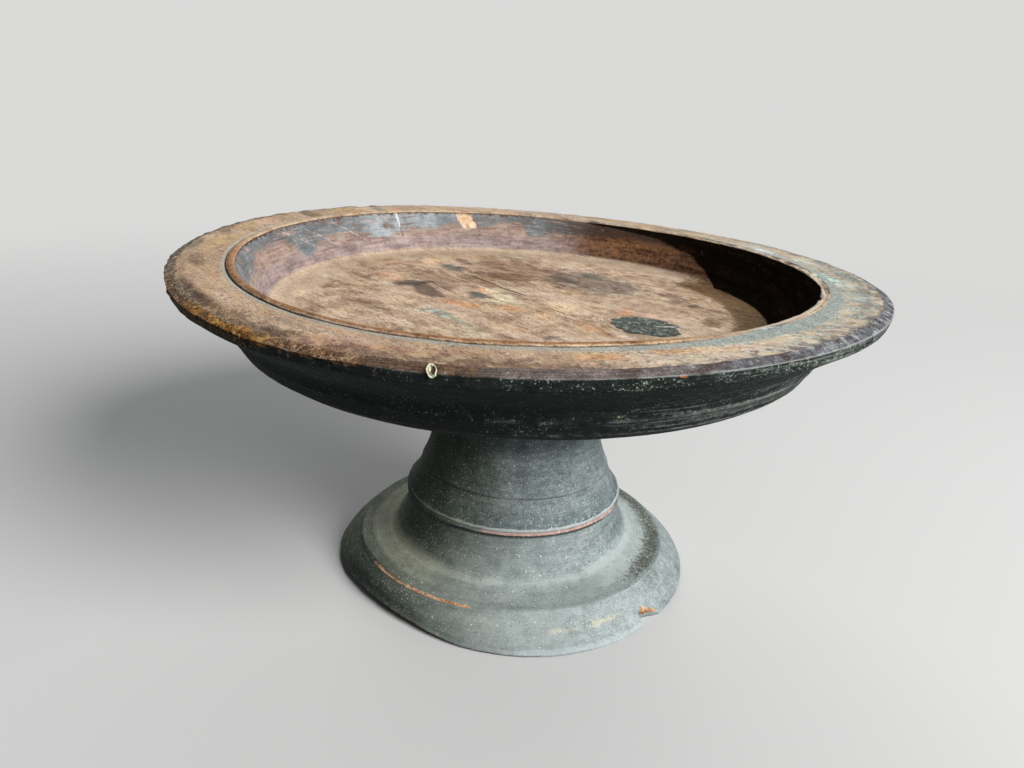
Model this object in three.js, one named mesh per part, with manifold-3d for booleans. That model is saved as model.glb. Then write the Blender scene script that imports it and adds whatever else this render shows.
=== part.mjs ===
// Turned wooden pedestal dish: a wide shallow dish with a broad flange, carried on a waisted stem
// and a stepped, flared foot. Millimetres, +Z up, the foot stands on Z = 0 and the front is -Y.
import * as THREE from "three";
import { mergeVertices } from "three/addons/utils/BufferGeometryUtils.js";
import Module from "manifold-3d";

const wasm = await Module();
wasm.setup();

// Fits between pieces
const FIT_GAP = 0.3;
const TENON_END_GAP = 0.8;

// Dish, from the middle outwards
const WELL_FLOOR_RADIUS = 148.5;
const WALL_RUN = 15.6;
const WELL_COVE = 9;
const BEAD_WIDTH = 4.4;
const BEAD_RISE = 0.8;
const GROOVE_WIDTH = 1.6;
const GROOVE_DEPTH = 0.9;
const FLANGE_WIDTH = 23.9;
const BEVEL_RUN = 6;
const BEVEL_DROP = 2.2;
const EDGE_HEIGHT = 6;
const EDGE_TUCK = 1.6;
const WELL_DEPTH = 26;
const FLOOR_THICKNESS = 25.5;
const FLOOR_COVE_RUN = 2;
const FLOOR_COVE_RISE = 6;
const BODY_WALL = 5.4;
const BELLY_RUN = 18.6;
const BELLY_RISE = 6.7;
const CHAMFER_RUN = 6;
const CHAMFER_HEIGHT = 4.2;
const STEP_RUN = 4.6;
const STEP_HEIGHT = 7.4;
const STEP_ROUND = 1;
const THROAT_RUN = 11;
const THROAT_RISE = 13;
const THROAT_PULL = 8;
const UNDER_RIM_RUN = 6;
const UNDER_RIM_FALL = 3;
const BOSS_WALL = 46;
const BOSS_HEIGHT = 16;
const BOSS_FILLET = 6;

// Stem and its two tenons
const STEM_HEIGHT = 78.2;
const STEM_TOP_RADIUS = 63;
const STEM_WAIST_RADIUS = 52;
const STEM_WAIST_HEIGHT = 52;
const STEM_BASE_RADIUS = 67.9;
const STEM_LIP_HEIGHT = 2.2;
const STEM_LIP_TUCK = 1.1;
const STEM_LINE_DEPTH = 0.7;
const STEM_LINE_WIDTH = 1.6;
const STEM_LINE_HEIGHT = 16.4;
const STEM_LINE_TUCK = 8.2;
const STEM_FLARE_PULL = 6;
const STEM_WAIST_PULL = 14;
const STEM_TOP_PULL = 8;
const TENON_RADIUS = 26;
const TOP_TENON_LENGTH = 30;
const LOW_TENON_PROUD = 5;

// Foot
const FOOT_HEIGHT = 49.2;
const BAND_RISE = 0.9;
const BAND_HEIGHT = 3.4;
const BAND_ROUND = 0.8;
const DRUM_FLARE = 9.7;
const DRUM_HEIGHT = 24.2;
const DRUM_FOOT_PULL = 9;
const COVE_WIDTH = 19.5;
const COVE_DROP = 3.6;
const COVE_SAG = 1.6;
const SKIRT_RUN = 14.7;
const SKIRT_BULGE = 1.5;
const REST_WIDTH = 24;
const REST_EDGE = 1.2;
const HOLLOW_HEIGHT = 24;
const HOLLOW_ROOF_RADIUS = 50;
const HOLLOW_SHOULDER_RUN = 8;
const HOLLOW_SHOULDER_HEIGHT = 16.8;
const CHIP_RADIUS = 8.5;
const CHIP_ANGLE = -43;
const CHIP_HEIGHT = 0.5;

// Wedge in the lower tenon
const WEDGE_HEIGHT = 24;
const WEDGE_TIP = 1.6;
const WEDGE_BUTT = 4.4;
const WEDGE_PROUD = 3;

// Pegs through the boss into the upper tenon
const PEG_RADIUS = 3.5;
const PEG_BITE = 12;
const PEG_PROUD = 1;
const HOLE_OVERRUN = 6;

// Knot in the floor
const KNOT_RADIUS = 20;
const KNOT_TAPER = 1.5;
const KNOT_DEPTH = 8;
const KNOT_X = 67;
const KNOT_Y = -45;

// Pin in the front of the rim
const PIN_RADIUS = 2.3;
const PIN_LENGTH = 13;
const PIN_ANGLE = -100;
const PIN_SLOPE = 45;

const SEGMENTS = 96;
const SMALL_SEGMENTS = 24;
const CURVE_STEPS = 5;

// Heights and radii that follow from the sizes above
const stemBottom = FOOT_HEIGHT + FIT_GAP;
const stemTop = stemBottom + STEM_HEIGHT;
const bossFace = stemTop + FIT_GAP;
const underside = bossFace + BOSS_HEIGHT;
const floorTop = underside + FLOOR_THICKNESS;
const rimTop = floorTop + WELL_DEPTH;
const mouthRadius = WELL_FLOOR_RADIUS + WALL_RUN;
const grooveRadius = mouthRadius + BEAD_WIDTH;
const flangeInner = grooveRadius + GROOVE_WIDTH;
const flangeOuter = flangeInner + FLANGE_WIDTH;
const rimRadius = flangeOuter + BEVEL_RUN;
const edgeTop = rimTop - BEVEL_DROP;
const bodyRadius = mouthRadius + BODY_WALL;
const bossRadius = TENON_RADIUS + BOSS_WALL;
const mortiseRadius = TENON_RADIUS + FIT_GAP;
const mortiseTop = bossFace + TOP_TENON_LENGTH + TENON_END_GAP;
const tenonBottom = HOLLOW_HEIGHT - LOW_TENON_PROUD;
const pegHeight = bossFace + BOSS_HEIGHT / 2;
const bandRadius = STEM_BASE_RADIUS + BAND_RISE;
const drumBottomRadius = bandRadius + DRUM_FLARE;
const ringRadius = drumBottomRadius + COVE_WIDTH;
const ringHeight = FOOT_HEIGHT - BAND_HEIGHT - DRUM_HEIGHT - COVE_DROP;
const footRadius = ringRadius + SKIRT_RUN;

const woodMaterial = (color, roughness) => new THREE.MeshStandardMaterial({ color, roughness, metalness: 0 });
const wornBrown = woodMaterial(0x8a6446, 0.8);
const greyPaint = woodMaterial(0x5b6769, 0.75);
const darkKnot = woodMaterial(0x23211f, 0.7);
const palePin = woodMaterial(0xc9c1a4, 0.8);
const rawWood = woodMaterial(0xa67c52, 0.85);

// A closed three.js geometry as a solid
function solid(geometry) {
  const plain = geometry.index ? geometry.toNonIndexed() : geometry.clone();
  plain.deleteAttribute("normal");
  plain.deleteAttribute("uv");
  const merged = mergeVertices(plain, 1e-4);
  const triVerts = new Uint32Array(merged.index.array);
  const vertProperties = merged.attributes.position.array;
  return new wasm.Manifold(new wasm.Mesh({ numProp: 3, vertProperties, triVerts }));
}

// A solid as a named mesh
function piece(name, shape, material) {
  const { vertProperties, triVerts } = shape.getMesh();
  const geometry = new THREE.BufferGeometry();
  geometry.setAttribute("position", new THREE.BufferAttribute(vertProperties, 3));
  geometry.setIndex(new THREE.BufferAttribute(triVerts, 1));
  geometry.computeVertexNormals();
  const mesh = new THREE.Mesh(geometry, material);
  mesh.name = name;
  return mesh;
}

// A profile of radius and height, turned about Z
function turned(path) {
  const points = path.getPoints(CURVE_STEPS);
  return solid(new THREE.LatheGeometry(points, SEGMENTS).rotateX(Math.PI / 2));
}

// A round bar from one point to another
function bar(from, to, radius, segments = SMALL_SEGMENTS) {
  const run = to.clone().sub(from);
  const geometry = new THREE.CylinderGeometry(radius, radius, run.length(), segments);
  const turn = new THREE.Quaternion().setFromUnitVectors(new THREE.Vector3(0, 1, 0), run.clone().normalize());
  geometry.applyQuaternion(turn);
  const middle = from.clone().addScaledVector(run, 0.5);
  return solid(geometry.translate(middle.x, middle.y, middle.z));
}

// A point at a radius, a height and an angle in degrees from +X
function around(radius, height, degrees) {
  const a = THREE.MathUtils.degToRad(degrees);
  return new THREE.Vector3(radius * Math.cos(a), radius * Math.sin(a), height);
}

function dishProfile() {
  const chamferHeight = underside + BELLY_RISE;
  const stepHeight = chamferHeight + CHAMFER_HEIGHT;
  const shoulder = stepHeight + STEP_HEIGHT;
  const stepRadius = bodyRadius - STEP_RUN;
  const chamferRadius = stepRadius - CHAMFER_RUN;
  const edgeBottom = edgeTop - EDGE_HEIGHT;
  const edgeRadius = rimRadius - EDGE_TUCK;
  const throatRadius = bodyRadius + THROAT_RUN;
  const throatHeight = shoulder + THROAT_RISE;
  const beadMiddle = mouthRadius + BEAD_WIDTH / 2;
  const beadTop = rimTop + BEAD_RISE;
  const coveRadius = WELL_FLOOR_RADIUS + FLOOR_COVE_RUN;
  const path = new THREE.Path();
  path.moveTo(0, mortiseTop);
  path.lineTo(mortiseRadius, mortiseTop);
  path.lineTo(mortiseRadius, bossFace);
  path.lineTo(bossRadius - BOSS_FILLET, bossFace);
  path.quadraticCurveTo(bossRadius, bossFace, bossRadius, bossFace + BOSS_FILLET);
  path.lineTo(bossRadius, underside - BOSS_FILLET);
  path.quadraticCurveTo(bossRadius, underside, bossRadius + BOSS_FILLET, underside);
  path.quadraticCurveTo(chamferRadius - BELLY_RUN, underside, chamferRadius, chamferHeight);
  path.lineTo(stepRadius, stepHeight);
  path.lineTo(bodyRadius - STEP_ROUND, shoulder - STEP_ROUND);
  path.lineTo(bodyRadius, shoulder);
  path.quadraticCurveTo(bodyRadius + STEP_ROUND, shoulder + THROAT_PULL, throatRadius, throatHeight);
  path.quadraticCurveTo(edgeRadius - UNDER_RIM_RUN, edgeBottom - UNDER_RIM_FALL, edgeRadius, edgeBottom);
  path.lineTo(rimRadius, edgeTop);
  path.lineTo(flangeOuter, rimTop);
  path.lineTo(flangeInner, rimTop);
  path.lineTo(flangeInner - GROOVE_WIDTH / 2, rimTop - GROOVE_DEPTH);
  path.quadraticCurveTo(grooveRadius, beadTop, beadMiddle, beadTop);
  path.quadraticCurveTo(mouthRadius, beadTop, mouthRadius, rimTop - BEAD_RISE);
  path.lineTo(coveRadius, floorTop + FLOOR_COVE_RISE);
  path.quadraticCurveTo(WELL_FLOOR_RADIUS, floorTop, WELL_FLOOR_RADIUS - WELL_COVE, floorTop);
  path.lineTo(0, floorTop);
  return path;
}

function knotSolid(grow) {
  const depth = KNOT_DEPTH + grow;
  const top = KNOT_RADIUS + grow;
  const geometry = new THREE.CylinderGeometry(top, top - KNOT_TAPER, depth, SMALL_SEGMENTS);
  geometry.rotateX(Math.PI / 2);
  return solid(geometry.translate(KNOT_X, KNOT_Y, floorTop - depth / 2));
}

// The pin slopes down and inwards from the middle of the bevel
function pinBar(radius, length) {
  const slope = THREE.MathUtils.degToRad(PIN_SLOPE);
  const middleRadius = rimRadius - BEVEL_RUN / 2;
  const middleHeight = rimTop - BEVEL_DROP / 2;
  const along = (s) =>
    around(middleRadius + s * Math.sin(slope), middleHeight + s * Math.cos(slope), PIN_ANGLE);
  return bar(along(-length), along(HOLE_OVERRUN), radius);
}

function rimPin() {
  const normal = around(BEVEL_DROP, BEVEL_RUN, PIN_ANGLE).normalize();
  const onBevel = around(rimRadius - BEVEL_RUN / 2, rimTop - BEVEL_DROP / 2, PIN_ANGLE);
  const cut = normal.clone().negate();
  const flush = pinBar(PIN_RADIUS, PIN_LENGTH).trimByPlane(cut.toArray(), cut.dot(onBevel));
  return piece("rim_pin", flush, palePin);
}

function pegBar(side, radius, bite, proud) {
  const inner = new THREE.Vector3(side * (TENON_RADIUS - bite), 0, pegHeight);
  const outer = new THREE.Vector3(side * (bossRadius + proud), 0, pegHeight);
  return bar(inner, outer, radius);
}

const SIDES = [
  ["left", -1],
  ["right", 1],
];

function dish() {
  let shape = turned(dishProfile());
  shape = shape.subtract(knotSolid(FIT_GAP));
  shape = shape.subtract(pinBar(PIN_RADIUS + FIT_GAP, PIN_LENGTH + FIT_GAP));
  for (const [, side] of SIDES) {
    shape = shape.subtract(pegBar(side, PEG_RADIUS + FIT_GAP, PEG_BITE + FIT_GAP, HOLE_OVERRUN));
  }
  return piece("dish", shape, wornBrown);
}

function stemProfile() {
  const waist = stemBottom + STEM_WAIST_HEIGHT;
  const line = stemBottom + STEM_LINE_HEIGHT;
  const lineBottom = line - STEM_LINE_WIDTH / 2;
  const lipTop = stemBottom + STEM_LIP_HEIGHT;
  const neckRadius = STEM_BASE_RADIUS - STEM_LIP_TUCK;
  const lineRadius = STEM_BASE_RADIUS - STEM_LINE_TUCK;
  const path = new THREE.Path();
  path.moveTo(0, tenonBottom);
  path.lineTo(TENON_RADIUS, tenonBottom);
  path.lineTo(TENON_RADIUS, stemBottom);
  path.lineTo(neckRadius, stemBottom);
  path.lineTo(STEM_BASE_RADIUS, stemBottom + STEM_LIP_TUCK);
  path.lineTo(neckRadius, lipTop);
  path.quadraticCurveTo(lineRadius + STEM_LINE_WIDTH, line - STEM_FLARE_PULL, lineRadius, lineBottom);
  path.lineTo(lineRadius - STEM_LINE_DEPTH, line);
  path.lineTo(lineRadius - STEM_LINE_DEPTH / 2, lineBottom + STEM_LINE_WIDTH);
  path.quadraticCurveTo(STEM_WAIST_RADIUS, waist - STEM_WAIST_PULL, STEM_WAIST_RADIUS, waist);
  path.quadraticCurveTo(STEM_WAIST_RADIUS, stemTop - STEM_TOP_PULL, STEM_TOP_RADIUS, stemTop);
  path.lineTo(TENON_RADIUS, stemTop);
  path.lineTo(TENON_RADIUS, stemTop + TOP_TENON_LENGTH);
  path.lineTo(0, stemTop + TOP_TENON_LENGTH);
  return path;
}

// The wedge's section is a taper in X, run along Y
function wedgeSolid(grow, halfLength) {
  const low = tenonBottom - WEDGE_PROUD;
  const high = low + WEDGE_HEIGHT + grow;
  const butt = WEDGE_BUTT / 2 + grow;
  const tip = WEDGE_TIP / 2 + grow;
  const section = new THREE.Shape();
  section.moveTo(-butt, low);
  section.lineTo(butt, low);
  section.lineTo(tip, high);
  section.lineTo(-tip, high);
  section.closePath();
  const geometry = new THREE.ExtrudeGeometry(section, { depth: 2 * halfLength, bevelEnabled: false });
  geometry.translate(0, 0, -halfLength);
  geometry.rotateX(Math.PI / 2);
  return solid(geometry);
}

function stem() {
  let shape = turned(stemProfile());
  shape = shape.subtract(wedgeSolid(FIT_GAP, TENON_RADIUS + FIT_GAP));
  for (const [, side] of SIDES) {
    shape = shape.subtract(pegBar(side, PEG_RADIUS + FIT_GAP, PEG_BITE + FIT_GAP, 0));
  }
  return piece("stem", shape, greyPaint);
}

function footProfile() {
  const drumTop = FOOT_HEIGHT - BAND_HEIGHT;
  const drumBottom = drumTop - DRUM_HEIGHT;
  const neckRadius = bandRadius - BAND_RISE;
  const restInner = footRadius - REST_WIDTH;
  const skirtPull = [ringRadius + SKIRT_RUN / 2 + SKIRT_BULGE, ringHeight / 2 + SKIRT_BULGE];
  const covePull = [(ringRadius + drumBottomRadius) / 2, ringHeight + COVE_DROP / 2 - COVE_SAG];
  const path = new THREE.Path();
  path.moveTo(mortiseRadius, HOLLOW_HEIGHT);
  path.lineTo(HOLLOW_ROOF_RADIUS, HOLLOW_HEIGHT);
  path.quadraticCurveTo(restInner - HOLLOW_SHOULDER_RUN, HOLLOW_SHOULDER_HEIGHT, restInner, 0);
  path.lineTo(footRadius - REST_EDGE, 0);
  path.lineTo(footRadius, REST_EDGE);
  path.quadraticCurveTo(...skirtPull, ringRadius, ringHeight);
  path.quadraticCurveTo(...covePull, drumBottomRadius, drumBottom);
  path.quadraticCurveTo(neckRadius, drumBottom + DRUM_FOOT_PULL, neckRadius, drumTop);
  path.lineTo(bandRadius, drumTop + BAND_ROUND);
  path.lineTo(bandRadius, FOOT_HEIGHT - BAND_ROUND);
  path.lineTo(neckRadius, FOOT_HEIGHT);
  path.lineTo(mortiseRadius, FOOT_HEIGHT);
  path.lineTo(mortiseRadius, HOLLOW_HEIGHT);
  return path;
}

function foot() {
  const chip = new THREE.SphereGeometry(CHIP_RADIUS, SMALL_SEGMENTS, SMALL_SEGMENTS / 2);
  const at = around(footRadius + CHIP_RADIUS / 3, CHIP_HEIGHT, CHIP_ANGLE);
  const shape = turned(footProfile()).subtract(solid(chip.translate(at.x, at.y, at.z)));
  return piece("foot", shape, greyPaint);
}

const pedestalDish = new THREE.Group();
pedestalDish.add(dish());
pedestalDish.add(piece("floor_knot", knotSolid(0), darkKnot));
pedestalDish.add(rimPin());
pedestalDish.add(stem());
pedestalDish.add(foot());
pedestalDish.add(piece("tenon_wedge", wedgeSolid(0, TENON_RADIUS - FIT_GAP), rawWood));
for (const [label, side] of SIDES) {
  pedestalDish.add(piece("boss_peg_" + label, pegBar(side, PEG_RADIUS, PEG_BITE, PEG_PROUD), rawWood));
}

export default pedestalDish;
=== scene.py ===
"""A worn wooden pedestal dish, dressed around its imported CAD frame.

Sizes are in millimetres and angles in degrees until a mesh is made, because Blender works in metres.
Angles run anticlockwise from +X, seen from above, and the photograph was taken from the -Y side.
"""

import math

import bpy
import numpy as np
from mathutils import Matrix, Vector


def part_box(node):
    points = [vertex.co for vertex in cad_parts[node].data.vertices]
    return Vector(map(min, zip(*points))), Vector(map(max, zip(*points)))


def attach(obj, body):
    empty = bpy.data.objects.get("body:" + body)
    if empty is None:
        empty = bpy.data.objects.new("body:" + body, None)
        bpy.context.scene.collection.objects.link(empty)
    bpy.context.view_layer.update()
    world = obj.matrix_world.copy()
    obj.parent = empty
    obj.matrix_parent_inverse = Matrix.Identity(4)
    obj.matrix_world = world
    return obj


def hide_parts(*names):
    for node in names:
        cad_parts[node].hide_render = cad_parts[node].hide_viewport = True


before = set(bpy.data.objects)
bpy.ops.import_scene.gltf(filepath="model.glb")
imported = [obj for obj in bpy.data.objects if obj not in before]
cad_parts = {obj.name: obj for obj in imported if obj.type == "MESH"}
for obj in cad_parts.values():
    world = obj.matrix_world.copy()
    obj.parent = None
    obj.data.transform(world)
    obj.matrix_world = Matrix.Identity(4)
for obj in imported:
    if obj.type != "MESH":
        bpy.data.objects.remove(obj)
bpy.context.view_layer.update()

MM = 0.001


# Sizes taken from the frame

def node_size(node):
    """The radius, lowest height and highest height of a turned CAD node, in millimetres."""
    low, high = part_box(node)
    return (high.x - low.x) / 2 / MM, low.z / MM, high.z / MM


RIM_RADIUS, BOSS_FACE, BEAD_TOP = node_size("dish")
STEM_RADIUS, TENON_BOTTOM, TENON_TOP = node_size("stem")
FOOT_RADIUS, _, FOOT_TOP = node_size("foot")

# Dish
RIM_TOP = BEAD_TOP - 0.8
FLOOR_TOP = RIM_TOP - 26
UNDERSIDE = FLOOR_TOP - 25.5
MOUTH_RADIUS = RIM_RADIUS - 35.9
BODY_RADIUS = RIM_RADIUS - 30.5
FLANGE_WIDTH = 23.9
BEVEL_WIDTH = 6
BEVEL_DROP = 2.2
EDGE_LEAN = 1.6
EDGE_HEIGHT = 6
BOSS_RADIUS = 72
MORTISE_RADIUS = 26.3
MORTISE_DEPTH = 30.8
# Stem
STEM_BOTTOM = 49.5
STEM_TOP = BOSS_FACE - 0.3
WAIST_RADIUS = 52
TENON_RADIUS = 26
# Foot
BAND_RADIUS = FOOT_RADIUS - 43.9
DRUM_RADIUS = FOOT_RADIUS - 34.2
RING_RADIUS = FOOT_RADIUS - 14.7
RING_HEIGHT = 18
HOLLOW_HEIGHT = 24
REST_WIDTH = 24

# Columns round each turned piece
DISH_COLUMNS = 560
FOOT_COLUMNS = 480
STEM_COLUMNS = 440
KNOT_COLUMNS = 120
PIN_COLUMNS = 72

# The grain of the dish's board, seen from above, and the knot in its floor
GRAIN_ANGLE = -48
KNOT_PLACE = (67, -45)
KNOT_RADIUS = 20

# The stretches of each outline, in order; a place's zone is its stretch's number plus the share of it passed
(FLOOR, COVE, WALL, BEAD, BEAD_SIDE, GROOVE, FLANGE, BEVEL, EDGE, UNDER_RIM, THROAT, STEP_ROUND, STEP,
 CHAMFER, BELLY, BOSS_FILLET, BOSS, BOSS_EDGE, BOSS_FACE_ZONE, MORTISE, MORTISE_TOP) = range(21)
(UPPER_TENON_TOP, UPPER_TENON, STEM_HEAD, TOP_FLARE, WAIST, SHANK, TURNED_LINE, LINE_FOOT, BASE_FLARE,
 LIP_TOP, LIP_UNDER, LIP_BACK, STEM_SEAT, LOWER_TENON, TENON_END) = range(15)
(FOOT_SEAT, BAND_ROUND, BAND, BAND_UNDER, DRUM, RING, RING_CRACK, CRACK_FOOT, SKIRT, SKIRT_EDGE, REST,
 HOLLOW, HOLLOW_ROOF, BORE) = range(14)


# Outlines and turned meshes

def outline(radius, height, stretches):
    """Points of radius and height along a turned piece, each with its zone.

    A stretch ends at a radius and height, with points about step apart, and is straight unless the radius and
    height of a place that it is drawn towards come first.
    """
    points = [(radius, height)]
    zones = [0.0]
    for zone, (*pull, end_radius, end_height, step) in enumerate(stretches):
        start = points[-1]
        end = (end_radius, end_height)
        pull = pull or [(a + b) / 2 for a, b in zip(start, end)]
        count = max(1, round((math.dist(start, pull) + math.dist(pull, end)) / step))
        for t in (i / count for i in range(1, count + 1)):
            weights = ((1 - t) ** 2, 2 * t * (1 - t), t * t)
            points.append([sum(w * p[k] for w, p in zip(weights, (start, pull, end))) for k in (0, 1)])
            zones.append(zone + t)
    return np.array(points), np.array(zones)


def fade(value, low, high):
    """0 below low and 1 above high, with a smooth change between."""
    t = np.clip((value - low) / (high - low), 0, 1)
    return t * t * (3 - 2 * t)


def arc(angle, middle, half, soft):
    """1 within half of the middle angle, and 0 from soft further away."""
    away = np.abs((angle - middle + 180) % 360 - 180)
    return 1 - fade(away, half, half + soft)


def band(value, low, high, soft):
    """1 from low to high and 0 outside, with a change soft wide centred on each end."""
    return fade(value, low - soft / 2, low + soft / 2) * (1 - fade(value, high - soft / 2, high + soft / 2))


def lattice(cell, seed):
    """One repeatable value from -1 to 1 for each whole-numbered cell."""
    mixed = cell[0] * 73856093 ^ cell[1] * 19349663 ^ cell[2] * 83492791 ^ seed * 39916801
    mixed = (mixed ^ mixed >> 13) * 1274126177 & 0xFFFFFFFF
    mixed = (mixed ^ mixed >> 15) * 668265263 & 0xFFFFFFFF
    return (mixed >> 8) % 65536 / 32767.5 - 1


def noise(x, y, z, seed):
    """Smooth noise from -1 to 1, with bumps about one unit wide."""
    places = [np.asarray(v, float) for v in (x, y, z)]
    cells = [np.floor(v).astype(np.int64) for v in places]
    shares = [v - c for v, c in zip(places, cells)]
    shares = [t * t * (3 - 2 * t) for t in shares]
    total = 0.0
    for corner in range(8):
        bits = (corner & 1, corner >> 1 & 1, corner >> 2 & 1)
        weight = 1.0
        for bit, t in zip(bits, shares):
            weight = weight * (t if bit else 1 - t)
        total = total + weight * lattice([c + b for c, b in zip(cells, bits)], seed)
    return total


def turned(angle, x, y):
    """X and y after a turn by an angle."""
    turn = math.radians(angle)
    return x * math.cos(turn) - y * math.sin(turn), x * math.sin(turn) + y * math.cos(turn)


class Turned:
    """A turned surface as a grid: rows along its outline, columns round the Z axis."""

    def __init__(self, points, zones, columns, closed=False):
        slope = np.gradient(points, axis=0)
        if closed:
            points = points[:-1]
            zones = zones[:-1]
            slope = np.roll(points, -1, axis=0) - np.roll(points, 1, axis=0)
        self.closed = closed
        run = np.concatenate([[0], np.cumsum(np.hypot(*np.diff(points, axis=0).T))])
        slope = slope / np.hypot(*slope.T)[:, None]
        grid = np.ones((len(points), columns))
        self.angle = grid * np.linspace(-180, 180, columns, endpoint=False)
        self.radius = grid * points[:, :1]
        self.height = grid * points[:, 1:]
        self.zone = grid * zones[:, None]
        self.run = grid * run[:, None]
        self.normal = (-slope[:, 1:], slope[:, :1])

    def push(self, amount):
        """Moves the surface outwards, or inwards where the amount is below nought."""
        self.radius = self.radius + amount * self.normal[0]
        self.height = self.height + amount * self.normal[1]

    def place(self):
        """X, Y and Z of the whole grid."""
        turn = np.radians(self.angle)
        return self.radius * np.cos(turn), self.radius * np.sin(turn), self.height

    def noise(self, size, seed):
        """Smooth noise over the surface with bumps about size wide."""
        return noise(*(v / size for v in self.place()), seed)

    def rings(self, size, seed):
        """Noise that changes along the outline but hardly round it, as a turning tool leaves."""
        turn = np.radians(self.angle)
        return noise(np.cos(turn) * 1.3, np.sin(turn) * 1.3, self.run / size, seed)

    def arc(self, middle, half, soft):
        return arc(self.angle, middle, half, soft)

    def band(self, low, high, soft):
        return band(self.zone, low, high, soft)

    def patch(self, middle, half, soft, low, high, change):
        """1 round a middle angle and from one zone to another, and 0 elsewhere."""
        return self.arc(middle, half, soft) * self.band(low, high, change)

    def patches(self, *rows):
        """The sum of some patches, each row a strength and a patch."""
        return sum(strength * self.patch(*row) for strength, *row in rows)

    def piece(self, name, masks):
        """The grid as a piece, with its zone, its run and each mask as attributes."""
        return ring_mesh(name, self.place(), {"zone": self.zone, "run": self.run, **masks}, self.closed)


def ring_mesh(name, place, masks, closed=False):
    """A smooth piece made of rings of points, whose end rings join up, or else are one point each."""
    rows, columns = place[0].shape

    def in_order(grid):
        """A grid's values ring by ring."""
        grid = np.broadcast_to(grid, (rows, columns))
        if closed:
            return grid.ravel()
        return np.concatenate([grid[0, :1], grid[1:-1].ravel(), grid[-1, :1]])

    index = np.arange(rows * columns).reshape(rows, columns)
    if not closed:
        index = index[:-2] + 1
    beside = np.roll(index, -1, axis=1)
    below, below_beside = (np.roll(side, -1, axis=0) for side in (index, beside))
    quads = np.stack([index, below, below_beside, beside], axis=-1)
    if closed:
        faces = quads.reshape(-1, 4).tolist()
    else:
        last = index[-1, -1] + 1
        faces = quads[:-1].reshape(-1, 4).tolist()
        faces += [(0, a, b) for a, b in zip(index[0].tolist(), beside[0].tolist())]
        faces += [(a, int(last), b) for a, b in zip(index[-1].tolist(), beside[-1].tolist())]
    mesh = bpy.data.meshes.new(name)
    mesh.from_pydata((np.stack([in_order(side) for side in place], axis=-1) * MM).tolist(), [], faces)
    for key, values in masks.items():
        attribute = mesh.attributes.new(key, "FLOAT", "POINT")
        attribute.data.foreach_set("value", in_order(values).astype(np.float32))
    mesh.shade_smooth()
    made = bpy.data.objects.new(name, mesh)
    bpy.context.scene.collection.objects.link(made)
    return made


# Shapes of the pieces

def within_one(masks):
    """The masks with each of their values clipped, from 0 to 1."""
    return {key: np.clip(mask, 0, 1) for key, mask in masks.items()}


def warp_dish(angle, radius, height):
    """The old board's warp: how far a place's radius and height have moved, found from the photograph."""
    turn = np.radians(angle)
    share = radius / RIM_RADIUS
    out_of_round = 0.12 * np.cos(2 * turn) - 0.77 * np.sin(2 * turn)
    out_of_round += 0.39 * np.sin(3 * turn) - 2.31 * np.cos(3 * turn)
    tilt = 0.36 * np.cos(turn) + 2.9 * np.sin(turn)
    twist = 0.76 * np.cos(2 * turn) - 3.65 * np.sin(2 * turn)
    ripple = 0.16 * np.sin(3 * turn) - 0.32 * np.cos(3 * turn)
    low = height < UNDERSIDE + 1
    held = np.where(low, fade(radius, BOSS_RADIUS, BOSS_RADIUS + 30), 1.0)
    shift = 1.07 * np.cos(turn)
    return (held * (share * (out_of_round + shift)),
            held * (share * tilt + share ** 2 * twist + share ** 3 * ripple))


def dish_outline():
    """The dish from the middle of its floor, over the rim and back under to its mortise."""
    return outline(0, FLOOR_TOP, [
        (RIM_RADIUS - 60.5, FLOOR_TOP, 3),
        (RIM_RADIUS - 51.5, FLOOR_TOP, RIM_RADIUS - 49.5, FLOOR_TOP + 6, 1.3),
        (MOUTH_RADIUS, BEAD_TOP - 1.6, 1.3),
        (MOUTH_RADIUS, BEAD_TOP, MOUTH_RADIUS + 2.2, BEAD_TOP, 0.6),
        (MOUTH_RADIUS + 4.4, BEAD_TOP, MOUTH_RADIUS + 4.8, BEAD_TOP - 2, 0.6),
        (MOUTH_RADIUS + 6, RIM_TOP, 0.6),
        (RIM_RADIUS - BEVEL_WIDTH, RIM_TOP, 1),
        (RIM_RADIUS, RIM_TOP - BEVEL_DROP, 0.8),
        (RIM_RADIUS - EDGE_LEAN, RIM_TOP - BEVEL_DROP - EDGE_HEIGHT, 0.8),
        (RIM_RADIUS - 7.6, RIM_TOP - 11.2, BODY_RADIUS + 11, RIM_TOP - 20.2, 1.2),
        (BODY_RADIUS + 1, RIM_TOP - 25.2, BODY_RADIUS, UNDERSIDE + 18.3, 1.2),
        (BODY_RADIUS - 1, UNDERSIDE + 17.3, 0.7),
        (BODY_RADIUS - 4.6, UNDERSIDE + 10.9, 0.9),
        (BODY_RADIUS - 10.6, UNDERSIDE + 6.7, 0.9),
        (BODY_RADIUS - 29.2, UNDERSIDE, BOSS_RADIUS + 6, UNDERSIDE, 3),
        (BOSS_RADIUS, UNDERSIDE, BOSS_RADIUS, UNDERSIDE - 6, 2),
        (BOSS_RADIUS, BOSS_FACE + 6, 2),
        (BOSS_RADIUS, BOSS_FACE, BOSS_RADIUS - 6, BOSS_FACE, 2),
        (MORTISE_RADIUS, BOSS_FACE, 6),
        (MORTISE_RADIUS, BOSS_FACE + MORTISE_DEPTH, 6),
        (0, BOSS_FACE + MORTISE_DEPTH, 9),
    ])


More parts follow.
